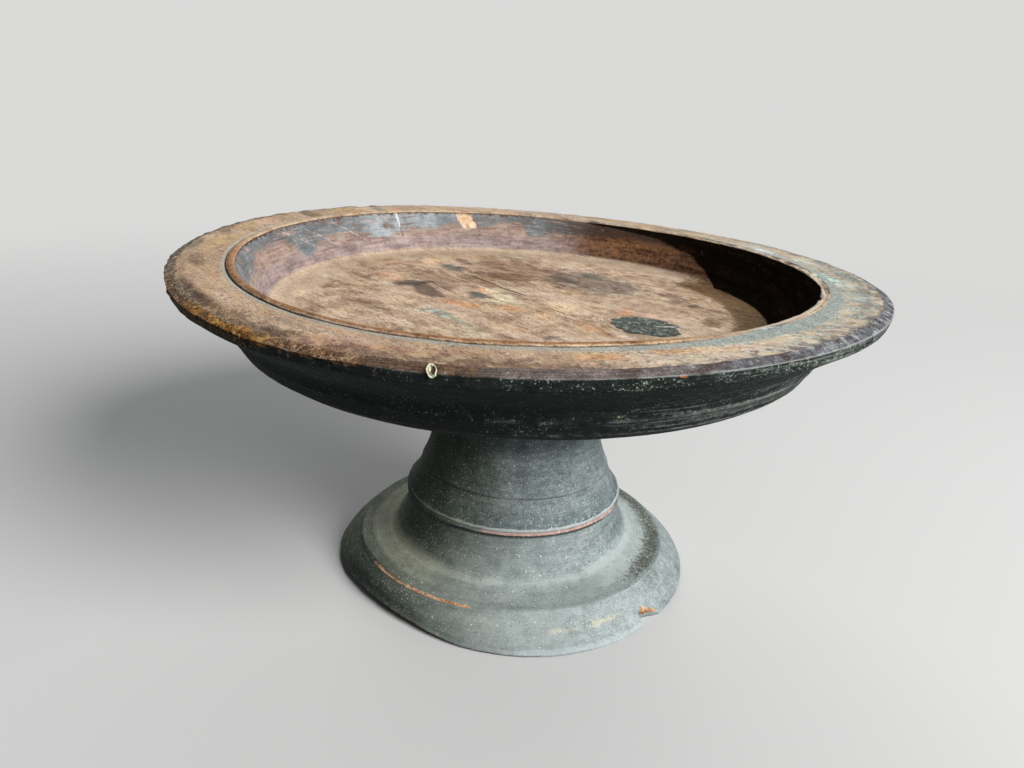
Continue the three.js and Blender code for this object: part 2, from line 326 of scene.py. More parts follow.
def wear_dish(at):
    """Wears the dish's arrises, chews its left front edge and leaves turning marks and raised grain."""
    x, y, z = at.place()
    along, across = turned(-GRAIN_ANGLE, x, y)
    raised = noise(along / 30, across / 3.4, z / 4, 3)
    uneven = at.noise(34, 4)
    crumbs = at.noise(3.2, 5)
    lumps = at.noise(8, 6)
    slow = at.noise(22, 7)
    top = at.band(FLOOR - 1, BEVEL + 0.5, 0.5)
    below = 1 - top
    depth = 0.16 * top * raised + 0.2 * uneven * at.band(FLOOR - 1, COVE, 0.3)
    depth += 0.09 * at.rings(2.4, 8) * (below + at.band(COVE, BEAD, 0.4))
    outer = at.band(BEVEL - 0.25, UNDER_RIM + 0.15, 0.5)
    arrises = sum(at.band(edge - 0.12, edge + 0.12, 0.2) for edge in (BEVEL, EDGE, UNDER_RIM))
    depth -= arrises * (0.25 + 0.3 * np.clip(slow + 0.6 * lumps, 0, 1))
    depth += outer * (0.2 * slow + 0.12 * crumbs)
    crust = at.patch(172, 38, 18, FLANGE + 0.9, UNDER_RIM, 0.3)
    depth += crust * (0.45 * crumbs + 0.35 * lumps - 0.3)
    chewed = at.patch(-124, 9, 9, FLANGE + 0.8, UNDER_RIM + 0.1, 0.5)
    chewed += 0.55 * at.patch(-146, 12, 8, FLANGE + 0.9, EDGE + 0.6, 0.4)
    depth -= chewed * (1.1 + 0.9 * lumps + 0.75 * crumbs)
    nicks = np.clip(at.noise(5, 9) + 0.5 * slow - 0.72, 0, 1) * outer
    depth -= 3 * nicks
    right = at.arc(0, 55, 20)
    depth -= 0.75 * right * at.band(WALL + 0.96, BEAD_SIDE + 0.6, 0.3)
    depth += 1.0 * right * at.band(BEAD_SIDE + 0.6, GROOVE + 0.7, 0.5)
    mouth = at.band(WALL + 0.9, GROOVE, 0.14)
    ragged = at.arc(25, 48, 14) * mouth
    depth -= ragged * (0.5 + 0.9 * at.noise(9, 10) + 0.5 * crumbs)
    depth -= mouth * 0.4 * np.clip(lumps + 0.4 * crumbs - 0.35, 0, 1)
    steps = at.band(STEP_ROUND - 0.1, CHAMFER + 1, 0.3)
    depth += steps * (0.15 * slow + 0.1 * crumbs - 0.05)
    hidden = at.band(BOSS_FACE_ZONE, MORTISE_TOP + 2, 0.2)
    at.push(depth * (1 - hidden))
    out, up = warp_dish(at.angle, at.radius, at.height)
    at.radius = at.radius + out * (1 - hidden)
    at.height = at.height + up * (1 - hidden)


def dish_masks(at):
    """Masks for the dish's paint, bare wood, dust, crust, stains, rust and painted light and shade, from 0 to
    1.
    """
    wall = at.band(COVE + 0.4, BEAD + 0.1, 0.2)
    reach = round_about(at.angle, SLATE_REACH)
    slate = fade(at.zone - WALL, 1 - reach - 0.16, 1 - reach + 0.16)
    right = at.arc(-8, 36, 32)
    left = at.arc(180, 55, 25)
    flange = at.band(GROOVE + 0.5, BEVEL + 0.3, 0.1)
    paint = wall * slate + flange * (0.04 + 0.34 * right + 0.2 * at.arc(-45, 14, 20))
    paint = np.where(at.zone > BEVEL, np.clip(0.9 + 0.15 * right - 0.4 * left, 0, 1), paint)
    paint = np.where(at.zone > EDGE + 0.3, 1.0, paint)
    gold = at.patch(-133, 6, 8, BEVEL + 0.05, EDGE + 0.4, 0.3)
    width = round_about(at.angle, DUST_WIDTH) / FLANGE_WIDTH
    dust = at.band(GROOVE + 0.2, FLANGE + width, 0.07)
    # Painted shade: the right of the wall, in the front-right lamp's shadow, is darkened nearly to black.
    reach = round_about(at.angle, WALL_SHADE_REACH)
    soot_and_shade = fade(at.zone - WALL, 0.9 - reach, 1.2 - reach) * at.band(FLOOR + 0.99, BEAD + 0.1, 0.03)
    masks = {
        "paint": paint,
        "bare": gold + at.patches(
            (1, -119, 7, 9, FLANGE + 0.92, EDGE + 0.4, 0.3),
            (0.75, -149, 5, 10, BEVEL + 0.3, EDGE + 0.3, 0.3),
            (0.2, 178, 28, 25, FLANGE + 0.98, EDGE + 0.2, 0.3)),
        "gold": gold,
        # More pale dust on the rim's right, partly painted light.
        "dust": dust + 0.3 * right * at.band(FLANGE + 0.85, EDGE + 1, 0.5),
        "soot_and_shade": soot_and_shade * fade(reach, 0, 0.1),
        # Painted shadow: the right wall's brown shadow on the edge of the floor.
        "shade": at.patch(2, 24, 20, FLOOR + 0.88, COVE + 0.8, 0.08),
        "crust": at.patches(
            (1, 178, 46, 24, FLANGE + 0.95, UNDER_RIM, 0.25),
            (0.6, 95, 60, 25, FLANGE + 0.9, UNDER_RIM, 0.3)),
        "stain": at.patches(
            (0.78, -118, 24, 18, FLANGE + 0.6, BEVEL + 0.1, 0.5),
            (0.45, -82, 22, 14, FLANGE + 0.86, BEVEL + 0.1, 0.25),
            (0.5, 160, 40, 25, FLANGE + 0.72, BEVEL, 0.3),
            (0.3, -20, 50, 20, FLANGE + 0.8, BEVEL, 0.3)),
        "rust": wall * at.arc(52, 12, 26),
        # Painted light: the rim's side is paler and cooler on its lit right.
        "light": at.arc(-25, 25, 50),
        # The right side, paler and greyer: partly grey dust, partly painted light.
        "cool_and_lit": at.arc(-20, 42, 30),
        "brown": at.patch(-112, 12, 12, BEVEL - 0.2, EDGE + 0.2, 0.3),
        "flecked": at.arc(-62, 22, 22),
        "bead": (0.1 + 0.9 * at.arc(-118, 60, 18)) * (1 - 0.95 * at.arc(-2, 46, 30)),
        "rim_line": at.arc(135, 42, 14),
    }
    return {"pale": round_about(at.angle, SLATE_REACH, 2), **within_one(masks)}


def make_dish():
    """The whole turned dish, from its floor to the mortise under it."""
    at = Turned(*dish_outline(), DISH_COLUMNS)
    masks = dish_masks(at)
    wear_dish(at)
    return at.piece("dish_turned", masks)


def stem_outline():
    """The stem from the top of its upper tenon down to the end of its lower one."""
    return outline(0, TENON_TOP, [
        (TENON_RADIUS, TENON_TOP, 9),
        (TENON_RADIUS, STEM_TOP, 8),
        (WAIST_RADIUS + 11, STEM_TOP, 8),
        (WAIST_RADIUS, STEM_TOP - 8, WAIST_RADIUS, STEM_BOTTOM + 52, 1.6),
        (WAIST_RADIUS, STEM_BOTTOM + 47, WAIST_RADIUS + 0.9, STEM_BOTTOM + 38, 1.6),
        (WAIST_RADIUS + 2.6, STEM_BOTTOM + 27, STEM_RADIUS - 8.3, STEM_BOTTOM + 17.2, 1.4),
        (STEM_RADIUS - 8.9, STEM_BOTTOM + 16.4, 0.5),
        (STEM_RADIUS - 8.2, STEM_BOTTOM + 15.6, 0.5),
        (STEM_RADIUS - 6.6, STEM_BOTTOM + 10.4, STEM_RADIUS - 1.1, STEM_BOTTOM + 2.2, 1.1),
        (STEM_RADIUS + 0.4, STEM_BOTTOM + 1.1, 0.5),
        (STEM_RADIUS + 0.4, STEM_BOTTOM - 0.15, 0.5),
        (STEM_RADIUS - 2, STEM_BOTTOM, 0.5),
        (TENON_RADIUS, STEM_BOTTOM, 8),
        (TENON_RADIUS, TENON_BOTTOM, 6),
        (0, TENON_BOTTOM, 9),
    ])


def make_stem():
    """The painted stem, with its tenons, turned line and thin lip."""
    at = Turned(*stem_outline(), STEM_COLUMNS)
    seen = at.band(TOP_FLARE, LIP_BACK, 0.1)
    rough = 0.05 * at.rings(1.9, 21) + 0.1 * at.noise(24, 22) + 0.03 * at.noise(2.2, 23)
    lip = at.band(LIP_TOP - 0.3, LIP_BACK, 0.3)
    rough = rough - lip * 0.35 * np.clip(at.noise(7, 24) + 0.4 * at.noise(2.5, 25), 0, 1)
    rough = np.where(lip > 0, np.minimum(rough, 0), rough)
    at.push(seen * rough)
    # Painted light and shade: paler and bluish on the lit right, darker on the shaded left.
    right = at.arc(-20, 55, 50)
    left = at.arc(170, 60, 40)
    # Paler on the lower stem: partly dust, partly painted light, as the upper stem lies in the dish's shadow.
    dust = 0.08 + 0.3 * at.band(WAIST + 0.7, BASE_FLARE + 0.9, 1.4) + 0.07 * right - 0.25 * left
    ragged = LIP_TOP + 0.45 + 0.25 * at.noise(6, 26) + 0.1 * at.noise(2, 27)
    # The pale band over the lip, strongest at the front right and reaching under it, is partly painted light.
    dust = dust + 0.85 * band(at.zone - ragged, 0, 2, 0.12) * (0.35 + 0.65 * at.arc(-70, 70, 30))
    crack = (0.35 + 0.5 * right) * at.band(TURNED_LINE + 0.7, LINE_FOOT + 0.3, 0.4)
    return at.piece("stem_turned", within_one({"dust": dust, "crack": crack, "cool_and_lit": right, "warm": left}))


def foot_outline():
    """The foot from its seat for the stem, down its outside, up its hollow and its bore."""
    return outline(MORTISE_RADIUS, FOOT_TOP, [
        (BAND_RADIUS - 0.6, FOOT_TOP, 6),
        (BAND_RADIUS, FOOT_TOP - 0.5, 0.4),
        (BAND_RADIUS, FOOT_TOP - 2.6, 0.6),
        (BAND_RADIUS - 0.9, FOOT_TOP - 3.4, 0.5),
        (BAND_RADIUS - 0.9, RING_HEIGHT + 11.1, DRUM_RADIUS, RING_HEIGHT + 3.6, 1.1),
        (RING_RADIUS - 9.7, RING_HEIGHT + 0.2, RING_RADIUS - 0.6, RING_HEIGHT, 1),
        (RING_RADIUS + 0.2, RING_HEIGHT - 0.6, 0.4),
        (RING_RADIUS + 0.8, RING_HEIGHT - 1.5, 0.4),
        (RING_RADIUS + 8.8, 10.5, FOOT_RADIUS, 1.2, 0.9),
        (FOOT_RADIUS - 1.2, 0, 0.6),
        (FOOT_RADIUS - REST_WIDTH, 0, 4),
        (FOOT_RADIUS - 32, HOLLOW_HEIGHT * 0.7, 50, HOLLOW_HEIGHT, 4),
        (MORTISE_RADIUS, HOLLOW_HEIGHT, 6),
        (MORTISE_RADIUS, FOOT_TOP, 5),
    ])


CHIP_START = -45.8
CHIP_END = -37.4
CHIP_DEPTH = 6.5
EDGE_WEAR = 0.66
EDGE_LIFT = 0.36
FOOT_SPREAD = [
    # angle round the foot, and how far out of round its edge is there
    (-180, 0), (-168, -1.2), (-156, -4.5), (-146, -7.6), (-136, -8.8), (-126, -8.4), (-118, -6.6),
    (-110, -3.4), (-103, -0.8), (-96, 0.6), (-84, 2.6), (-72, 3.4), (-58, 3), (-46, 1.4), (-34, 0.8),
    (-10, 0.2), (20, 1.6), (60, 0.6), (120, 0), (180, 0),
]


def wear_foot_edge(at, crumbs, lumps):
    """Wears the skirt's edge up at the left front, breaks a chip out of it and returns where it is broken."""
    seen = at.band(SKIRT + 0.3, REST + 0.99, 0.02)
    spread = round_about(at.angle, FOOT_SPREAD)
    lift = EDGE_LIFT * np.clip(-spread, 0, 9) * fade(at.radius, FOOT_RADIUS - 22, FOOT_RADIUS - 4)
    at.height = at.height + seen * lift * fade(at.zone, SKIRT + 0.3, SKIRT + 1)
    spread = np.where(spread < 0, spread * EDGE_WEAR, spread)
    outwards = fade(at.zone, SKIRT + 0.2, SKIRT + 1) * fade(at.radius, FOOT_RADIUS - 22.7, FOOT_RADIUS)
    at.radius = at.radius + seen * spread * outwards
    share = (at.angle - CHIP_START) / (CHIP_END - CHIP_START)
    inside = (share > 0) & (share < 1)
    depth = np.where(inside, CHIP_DEPTH * (1 - np.clip(share, 0, 1)) ** 0.7 + 0.9 * lumps + 0.6 * crumbs, 0)
    limit = FOOT_RADIUS + spread - np.clip(depth, 0, 9) - 0.2 * np.maximum(6 - at.height, 0)
    on_skirt = inside & (at.zone > SKIRT + 0.3) & (at.zone <= SKIRT_EDGE + 1)
    near = on_skirt * fade(at.radius - limit, -1.5, -0.7)
    at.radius = np.where(on_skirt, np.minimum(at.radius, limit), at.radius)
    inner = FOOT_RADIUS - REST_WIDTH
    resting = inside & (at.zone > SKIRT_EDGE + 1) & (at.zone <= REST + 1)
    squeeze = np.minimum((limit - inner) / REST_WIDTH, 1)
    at.radius = np.where(resting, inner + (at.radius - inner) * squeeze, at.radius)
    return near * fade(at.height, 2.8, 4.4) * fade(share, 0.05, 0.2)


def make_foot():
    """The flared foot, with the crack along its ring and the chip out of its skirt."""
    at = Turned(*foot_outline(), FOOT_COLUMNS, closed=True)
    outside = at.band(BAND_ROUND, SKIRT_EDGE + 0.6, 0.1)
    crumbs = at.noise(2.6, 31)
    lumps = at.noise(8, 32)
    slow = at.noise(30, 33)
    cracked = at.patch(-127, 24, 8, RING_CRACK - 0.05, CRACK_FOOT + 0.3, 0.2)
    depth = 0.05 * at.rings(2, 34) + 0.12 * slow + 0.05 * crumbs
    depth = depth - cracked * (0.6 + 0.3 * lumps)
    low_edge = at.band(SKIRT + 0.9, REST, 0.15)
    depth = depth - low_edge * 0.4 * np.clip(lumps + 0.5 * crumbs - 0.2, 0, 1)
    at.push(outside * depth)
    chip = wear_foot_edge(at, crumbs, lumps)
    return at.piece("foot_turned", foot_masks(at, chip))


def foot_masks(at, chip):
    """Masks for the foot's dust, painted light and shade, bare wood, cracks, red, dark stain and smudges,
    from 0 to 1.
    """
    right = at.arc(-20, 60, 50)
    left = at.arc(170, 50, 40)
    pale_edge = np.maximum(at.patch(-70, 14, 4, SKIRT + 0.84, SKIRT + 0.87, 0.015),
                           at.patch(-66, 22, 12, SKIRT + 0.9, SKIRT_EDGE, 0.05))
    # Painted light and shade: more pale dust on the lit right, less on the shaded left, a little less at the
    # right back.
    dust = 0.46 + 0.1 * right - 0.3 * left - 0.18 * at.arc(5, 30, 20)
    dust += 0.3 * at.band(DRUM + 0.88, RING + 0.08, 0.16) + 0.12 * at.band(RING, RING_CRACK, 0.2)
    dust += (0.09 + 0.08 * right) * at.band(CRACK_FOOT, REST, 0.3)
    dust += 0.3 * pale_edge - 0.16 * at.patch(-128, 22, 16, RING_CRACK, SKIRT_EDGE, 0.3)
    dust += 0.42 * at.band(DRUM + 0.75, RING + 0.6, 0.2) * (1 - at.arc(-85, 26, 20))
    masks = {
        "dust": dust,
        "bare": chip * 1.3 + at.patches(
            (1, -124, 19, 6, RING_CRACK - 0.01, CRACK_FOOT + 0.75, 0.05),
            (0.75, -128, 14, 8, SKIRT + 0.965, SKIRT_EDGE + 0.6, 0.03)),
        "crack": at.patches(
            (0.6, 5, 50, 20, RING_CRACK + 0.3, RING_CRACK + 0.9, 0.3),
            (0.9, -80, 36, 20, BAND + 0.45, BAND_UNDER + 0.3, 0.2),
            (0.6, -98, 14, 5, SKIRT + 0.88, SKIRT + 0.91, 0.02)),
        "red": at.band(FOOT_SEAT + 0.9, BAND + 0.5, 0.1) * (0.2 + 0.8 * at.arc(-62, 32, 22)),
        "soot_and_shade": at.patch(8, 34, 30, RING + 0.4, RING_CRACK, 0.5),
        "smudge": at.patches(
            (0.8, -73, 2.5, 5, SKIRT + 0.42, SKIRT + 0.56, 0.2),
            (0.9, -60, 3.5, 5, SKIRT + 0.38, SKIRT + 0.54, 0.2),
            (0.5, -101, 5, 6, SKIRT + 0.2, SKIRT + 0.5, 0.3)),
        "speckle": at.band(DRUM + 0.9, CRACK_FOOT, 0.3) + at.arc(180, 90, 30),
        "warm": left,
    }
    return {"cool_and_lit": np.clip(right + pale_edge, 0, 1.3), **within_one(masks)}


def make_knot():
    """The crazed knot: a low lens in the floor, pointed along the grain, its edge just under the wood."""
    shares = np.array([0, 0.12, 0.25, 0.38, 0.5, 0.62, 0.73, 0.83, 0.91, 0.97, 1.0, 0.93, 0.5, 0.0])
    drops = np.array([0, 0, 0, 0, 0, 0.02, 0.05, 0.1, 0.18, 0.42, 1.2, 2, 2, 2])
    turn = np.linspace(0, 2 * math.pi, KNOT_COLUMNS, endpoint=False)
    point = 0.96 + 0.12 * np.abs(np.cos(turn)) ** 10 + 0.1 * noise(np.cos(turn) * 5, np.sin(turn) * 5, 0, 41)
    edge = KNOT_RADIUS * point * (1 - 0.08 * np.abs(np.sin(turn)) ** 2)
    along = shares[:, None] * edge * np.cos(turn)
    across = shares[:, None] * edge * np.sin(turn)
    x, y = (middle + step for middle, step in zip(KNOT_PLACE, turned(GRAIN_ANGLE, along, across)))
    crazed = np.abs(noise(x / 2.6, y / 2.6, 0, 42))
    height = FLOOR_TOP + 0.34 - drops[:, None] - 0.22 * (crazed < 0.12) * (shares[:, None] < 0.95)
    angle = np.degrees(np.arctan2(y, x))
    _, lift = warp_dish(angle, np.hypot(x, y), height)
    return ring_mesh("knot", (x, y, height + lift), {})


PIN_ANGLE = -100
PIN_MIDDLE = 1.6
PIN_HALF_WIDTH = 2.2
PIN_HALF_LENGTH = 3.6
PIN_BEND = 1.2
PIN_LEAN = 0.22
PIN_ARRIS = 0.3


def over_the_arris(way):
    """Radius and height, and the normal, at a distance up the bevel, or down the edge below nought."""
    up_bevel = np.array([-BEVEL_WIDTH, BEVEL_DROP]) / math.hypot(BEVEL_WIDTH, BEVEL_DROP)
    down_edge = np.array([-EDGE_LEAN, -EDGE_HEIGHT]) / math.hypot(EDGE_LEAN, EDGE_HEIGHT)
    share = fade(way, -PIN_BEND, PIN_BEND)[..., None]
    normal = share * [up_bevel[1], -up_bevel[0]] + (1 - share) * [-down_edge[1], down_edge[0]]
    normal = normal / np.linalg.norm(normal, axis=-1, keepdims=True)
    place = np.array([RIM_RADIUS, RIM_TOP - BEVEL_DROP]) + np.maximum(way, 0)[..., None] * up_bevel
    place = place + np.maximum(-way, 0)[..., None] * down_edge
    return place - PIN_ARRIS * normal * (1 - fade(np.abs(way), 0, PIN_BEND))[..., None], normal


def make_pin():
    """The pale pin's end, worn over the rim's arris: a ragged raised ring, a pale lump and a dark hollow."""
    shares = np.array([0, 0.12, 0.24, 0.36, 0.46, 0.55, 0.64, 0.72, 0.8, 0.88, 0.95, 1.0, 1.0, 0.9, 0.5, 0])
    sunk = np.array([0] * 11 + [0.25, 2.6, 3.4, 3.4, 3.4])[:, None]
    turn = np.linspace(0, 2 * math.pi, PIN_COLUMNS, endpoint=False)
    ragged = 1 + 0.12 * noise(np.cos(turn) * 2.5, np.sin(turn) * 2.5, 0, 51)
    side = shares[:, None] * ragged * PIN_HALF_WIDTH * np.cos(turn)
    rise = shares[:, None] * ragged * PIN_HALF_LENGTH * np.sin(turn)
    rough = noise(side * 1.4, rise * 1.4, 0, 52)
    ring = band(shares[:, None], 0.7, 0.98, 0.16)
    hollow = 1 - fade(np.hypot((side - 0.6) / 0.85, rise / 2.0), 0.8, 1.15)
    lump = 1 - fade(np.hypot((side + 0.75) / 0.75, (rise - 0.5) / 1.7), 0.6, 1.1)
    proud = 0.12 + ring * (0.55 + 0.25 * rough) + lump * (0.4 + 0.2 * rough) - hollow * 0.75 - sunk
    place, normal = over_the_arris(rise + PIN_MIDDLE)
    radius = place[..., 0] + proud * normal[..., 0]
    height = place[..., 1] + proud * normal[..., 1]
    out, up = warp_dish(PIN_ANGLE, RIM_RADIUS, RIM_TOP)
    side = side - PIN_LEAN * rise
    x, y = turned(PIN_ANGLE, radius + out, side)
    masks = {"hollow": hollow, "pale": np.clip(ring + lump - hollow, 0, 1)}
    return ring_mesh("pin_end", (x, y, height + up), masks)


# Materials

def colour(red, green, blue):
    """A colour given as it looks on a screen, 0 to 255, as the shader's own numbers."""
    return tuple(c / 12.92 if c <= 0.04045 else ((c + 0.055) / 1.055) ** 2.4
                 for c in (red / 255, green / 255, blue / 255)) + (1.0,)


class Value:
    """A node's result, which plain arithmetic turns into further nodes."""

    def __init__(self, shader, socket):
        self.shader = shader
        self.socket = socket

    def __add__(self, other):
        return self.shader.math("ADD", self, other)

    def __sub__(self, other):
        return self.shader.math("SUBTRACT", self, other)

    def __rsub__(self, other):
        return self.shader.math("SUBTRACT", other, self)

    def __mul__(self, other):
        return self.shader.math("MULTIPLY", self, other)

    def __truediv__(self, other):
        return self.shader.math("DIVIDE", self, other)

    __radd__ = __add__


# The usual lowest and highest results of Blender's noise
NOISE_LOW = 0.27
NOISE_HIGH = 0.73


class Nodes:
    """The node tree of a material or a world, built by calls that each add a node."""

    def __init__(self, owner):
        owner.use_nodes = True
        self.nodes = owner.node_tree.nodes
        self.links = owner.node_tree.links
        self.nodes.clear()

    def node(self, kind, inputs, output=0, **settings):
        """Adds a node; each input is a number, a colour or another node's result."""
        made = self.nodes.new("ShaderNode" + kind)
        for key, value in settings.items():
            setattr(made, key, value)
        for key, value in inputs.items():
            if isinstance(value, Value):
                self.links.new(value.socket, made.inputs[key])
            else:
                made.inputs[key].default_value = value
        return Value(self, made.outputs[output]) if made.outputs else None

    def math(self, operation, first, second=0.0):
        return self.node("Math", {0: first, 1: second}, operation=operation)

    def most(self, first, second):
        return self.math("MAXIMUM", first, second)

    def seen_directly(self):
        """1 for camera, glossy and transmission rays, and 0 for those that carry light between surfaces."""
        camera, glossy, clear = (self.node("LightPath", {}, output=f"Is {kind} Ray")
                                 for kind in ("Camera", "Glossy", "Transmission"))
        return self.most(self.most(camera, glossy), clear)


class Shader(Nodes):
    """One material; places are in millimetres."""

    def __init__(self, name):
        self.material = bpy.data.materials.new(name)
        super().__init__(self.material)
        self.x, self.y, self.z = self.place()

    def place(self):
        """X, Y and Z in millimetres."""
        metres = self.node("TexCoord", {}, output="Object")
        split = self.nodes.new("ShaderNodeSeparateXYZ")
        self.links.new(metres.socket, split.inputs[0])
        return [Value(self, out) / MM for out in split.outputs]

    def clamp(self, value):
        return self.node("Clamp", {0: value})

    def mask(self, name):
        return self.node("Attribute", {}, output="Fac", attribute_name=name)

    def noise(self, x, y, z, detail=3.0, roughness=0.55):
        """Noise from about -1 to 1, with bumps about one unit wide."""
        vector = self.node("CombineXYZ", {0: x, 1: y, 2: z})
        inputs = {"Vector": vector, "Scale": 1.0, "Detail": detail, "Roughness": roughness}
        raw = self.node("TexNoise", inputs)
        return self.node("MapRange", {0: raw, 1: NOISE_LOW, 2: NOISE_HIGH, 3: -1.0, 4: 1.0})

    def speckle(self, size, detail=3.0, roughness=0.6):
        """Noise with bumps about size wide."""
        return self.noise(self.x / size, self.y / size, self.z / size, detail, roughness)

    def cell_edges(self, size, shake):
        """How far a place is from the edge of the small cell that it lies in."""
        vector = self.node("CombineXYZ", {0: self.x / size + shake, 1: self.y / size, 2: self.z / size})
        return self.node("TexVoronoi", {"Vector": vector, "Scale": 1.0}, feature="DISTANCE_TO_EDGE")

    def fade(self, value, low, high, strength=1.0):
        """0 below low and strength above high, or the other way round where low is the higher."""
        inputs = {0: value, 1: low, 2: high, 4: strength}
        return self.node("MapRange", inputs, interpolation_type="SMOOTHSTEP")

    def band(self, value, low, high, soft):
        """1 from low to high and 0 outside."""
        soft = soft / 2
        return self.fade(value, low - soft, low + soft) * self.fade(value, high + soft, high - soft)

    def mix(self, share, first, second):
        return self.node("Mix", {0: share, 6: first, 7: second}, output=2, data_type="RGBA")

    def ramp(self, value, *stops):
        """A colour for each value from -1 to 1."""
        share = self.node("MapRange", {0: value, 1: -1.0, 2: 1.0})
        made = self.nodes.new("ShaderNodeValToRGB")
        self.links.new(share.socket, made.inputs[0])
        elements = made.color_ramp.elements
        while len(elements) < len(stops):
            elements.new(0.5)
        for element, (position, *tint) in zip(elements, stops):
            element.position = (position + 1) / 2
            element.color = colour(*tint)
        return Value(self, made.outputs[0])

    def finish(self, tint, roughness, height, gloss=0.1):
        """Joins the colour, roughness and height in millimetres to a shader, and returns the material."""
        bump = self.node("Bump", {"Strength": 1.0, "Distance": MM, "Height": height})
        inputs = {"Base Color": tint, "Roughness": roughness, "Normal": bump, "Specular IOR Level": gloss}
        surface = self.node("BsdfPrincipled", inputs)
        self.node("OutputMaterial", {"Surface": surface})
        return self.material


# The usual colours of the board, the pedestal and its dust, against which stains are measured
PLAIN_WOOD = (194, 167, 140)
PLAIN_PAINT = (186, 192, 188)
POWDER = (164, 171, 162)


class Surface(Shader):
    """A turned piece's material: the noises that its layers share, and its colour and height so far."""

    def __init__(self, name):
        super().__init__(name)
        radius = self.math("SQRT", self.x * self.x + self.y * self.y)
        self.ring_x = self.x / radius
        self.ring_y = self.y / radius
        self.run = self.mask("run")
        self.zone = self.mask("zone")
        self.grit = self.speckle(0.8, 3.0, 0.65)
        self.crumbs = self.speckle(2.6, 4.0, 0.65)
        self.blotch = self.speckle(9.0, 4.0, 0.6)
        self.clouds = self.speckle(26.0, 4.0, 0.6)
        self.tint = None
        self.height = 0.0

    def mottle(self, *shares):
        """A sum of the shared noises, with a share of each from the finest to the broadest."""
        total = 0.0
        for share, noises in zip(shares, (self.grit, self.crumbs, self.blotch, self.clouds)):
            if share:
                total = self.node("Math", {0: noises, 1: share, 2: total}, operation="MULTIPLY_ADD")
        return total

    def torn(self, name, low, high, *shares):
        """A mask whose edge is torn by shares of the shared noises: 0 below low and 1 above high."""
        return self.fade(self.mask(name) + self.mottle(*shares), low, high)

    def sweep(self, turns, width, detail=4.0):
        """Streaks that run round the axis, width across and longer the fewer the turns."""
        return self.noise(self.ring_x * turns, self.ring_y * turns, self.run / width, detail, 0.62)

    def cover(self, share, tint):
        """Lays a colour over part of the surface."""
        self.tint = self.mix(share, self.tint, colour(*tint) if isinstance(tint, tuple) else tint)

    def stain(self, share, tint, plain=PLAIN_WOOD):
        """Shifts the colour but keeps its texture: where share is 1, a plain surface comes out as tint."""
        ratio = [a / b for a, b in zip(colour(*tint), colour(*plain))]
        inputs = {0: share, 6: self.tint, 7: ratio}
        self.tint = self.node("Mix", inputs, output=2, data_type="RGBA", blend_type="MULTIPLY")

    def angle(self):
        return self.math("ARCTAN2", self.y, self.x) * math.degrees(1)

    def raise_by(self, amount):
        self.height = self.height + amount


class Grain:
    """The dish board's grain: streaks and fibres that run along it and flow round the knot."""

    def __init__(self, s):
        self.along, self.across = turned(-GRAIN_ANGLE, s.x, s.y)
        knot_along, knot_across = turned(-GRAIN_ANGLE, *KNOT_PLACE)
        from_along = self.along - knot_along
        from_across = self.across - knot_across
        far = from_along * from_along + from_across * from_across
        held = (KNOT_RADIUS * 0.85) ** 2
        squeeze = 1.0 - s.math("DIVIDE", held, s.most(far, held * 1.05))
        wander = s.noise(self.along / 55, self.across / 30, s.z / 30, 3.0) * 5.0
        self.flow = from_across * squeeze + wander
        self.knot_distance = s.math("SQRT", far)
        self.patch = s.noise(self.along / 40, self.flow / 20, s.z / 20, 3.0)
        self.streak = s.noise(self.along / 15, self.flow / 3.6, s.z / 3.6, 5.0, 0.68)
        self.fibre = s.noise(self.along / 4, self.flow / 0.9, s.z / 0.9, 3.0, 0.7)


def lay_bare_wood(s, grain):
    """Old dry wood: blotches and streaks, fine fibres, dark pits and pale flecks."""
    tone = grain.patch * 0.36 + grain.streak * 0.42 + grain.fibre * 0.22 + s.mottle(0.3, 0, 0.42) + 0.08
    s.tint = s.ramp(tone, (-0.95, 84, 64, 50), (-0.5, 126, 100, 79), (-0.18, 166, 138, 112),
                    (0.12, 191, 164, 137), (0.5, 212, 188, 161), (0.95, 232, 214, 190))
    hue = s.noise(s.x / 34, s.y / 34, s.z / 34, 3.0)
    s.stain(s.fade(hue, 0.05, 0.8) * 0.45, (200, 166, 124))
    s.stain(s.fade(hue, -0.05, -0.8) * 0.4, (196, 162, 144))
    pits = s.noise(grain.along / 2.4, grain.flow / 0.8, s.z / 0.8, 2.0)
    s.cover(s.fade(pits + s.blotch * 0.25, 0.4, 0.75) * 0.65, (86, 64, 49))
    s.cover(s.fade(pits - s.blotch * 0.2, -0.5, -0.85) * 0.5, (234, 219, 196))
    s.raise_by(grain.streak * 0.14 + grain.fibre * 0.09 - s.fade(pits, 0.4, 0.75) * 0.14)


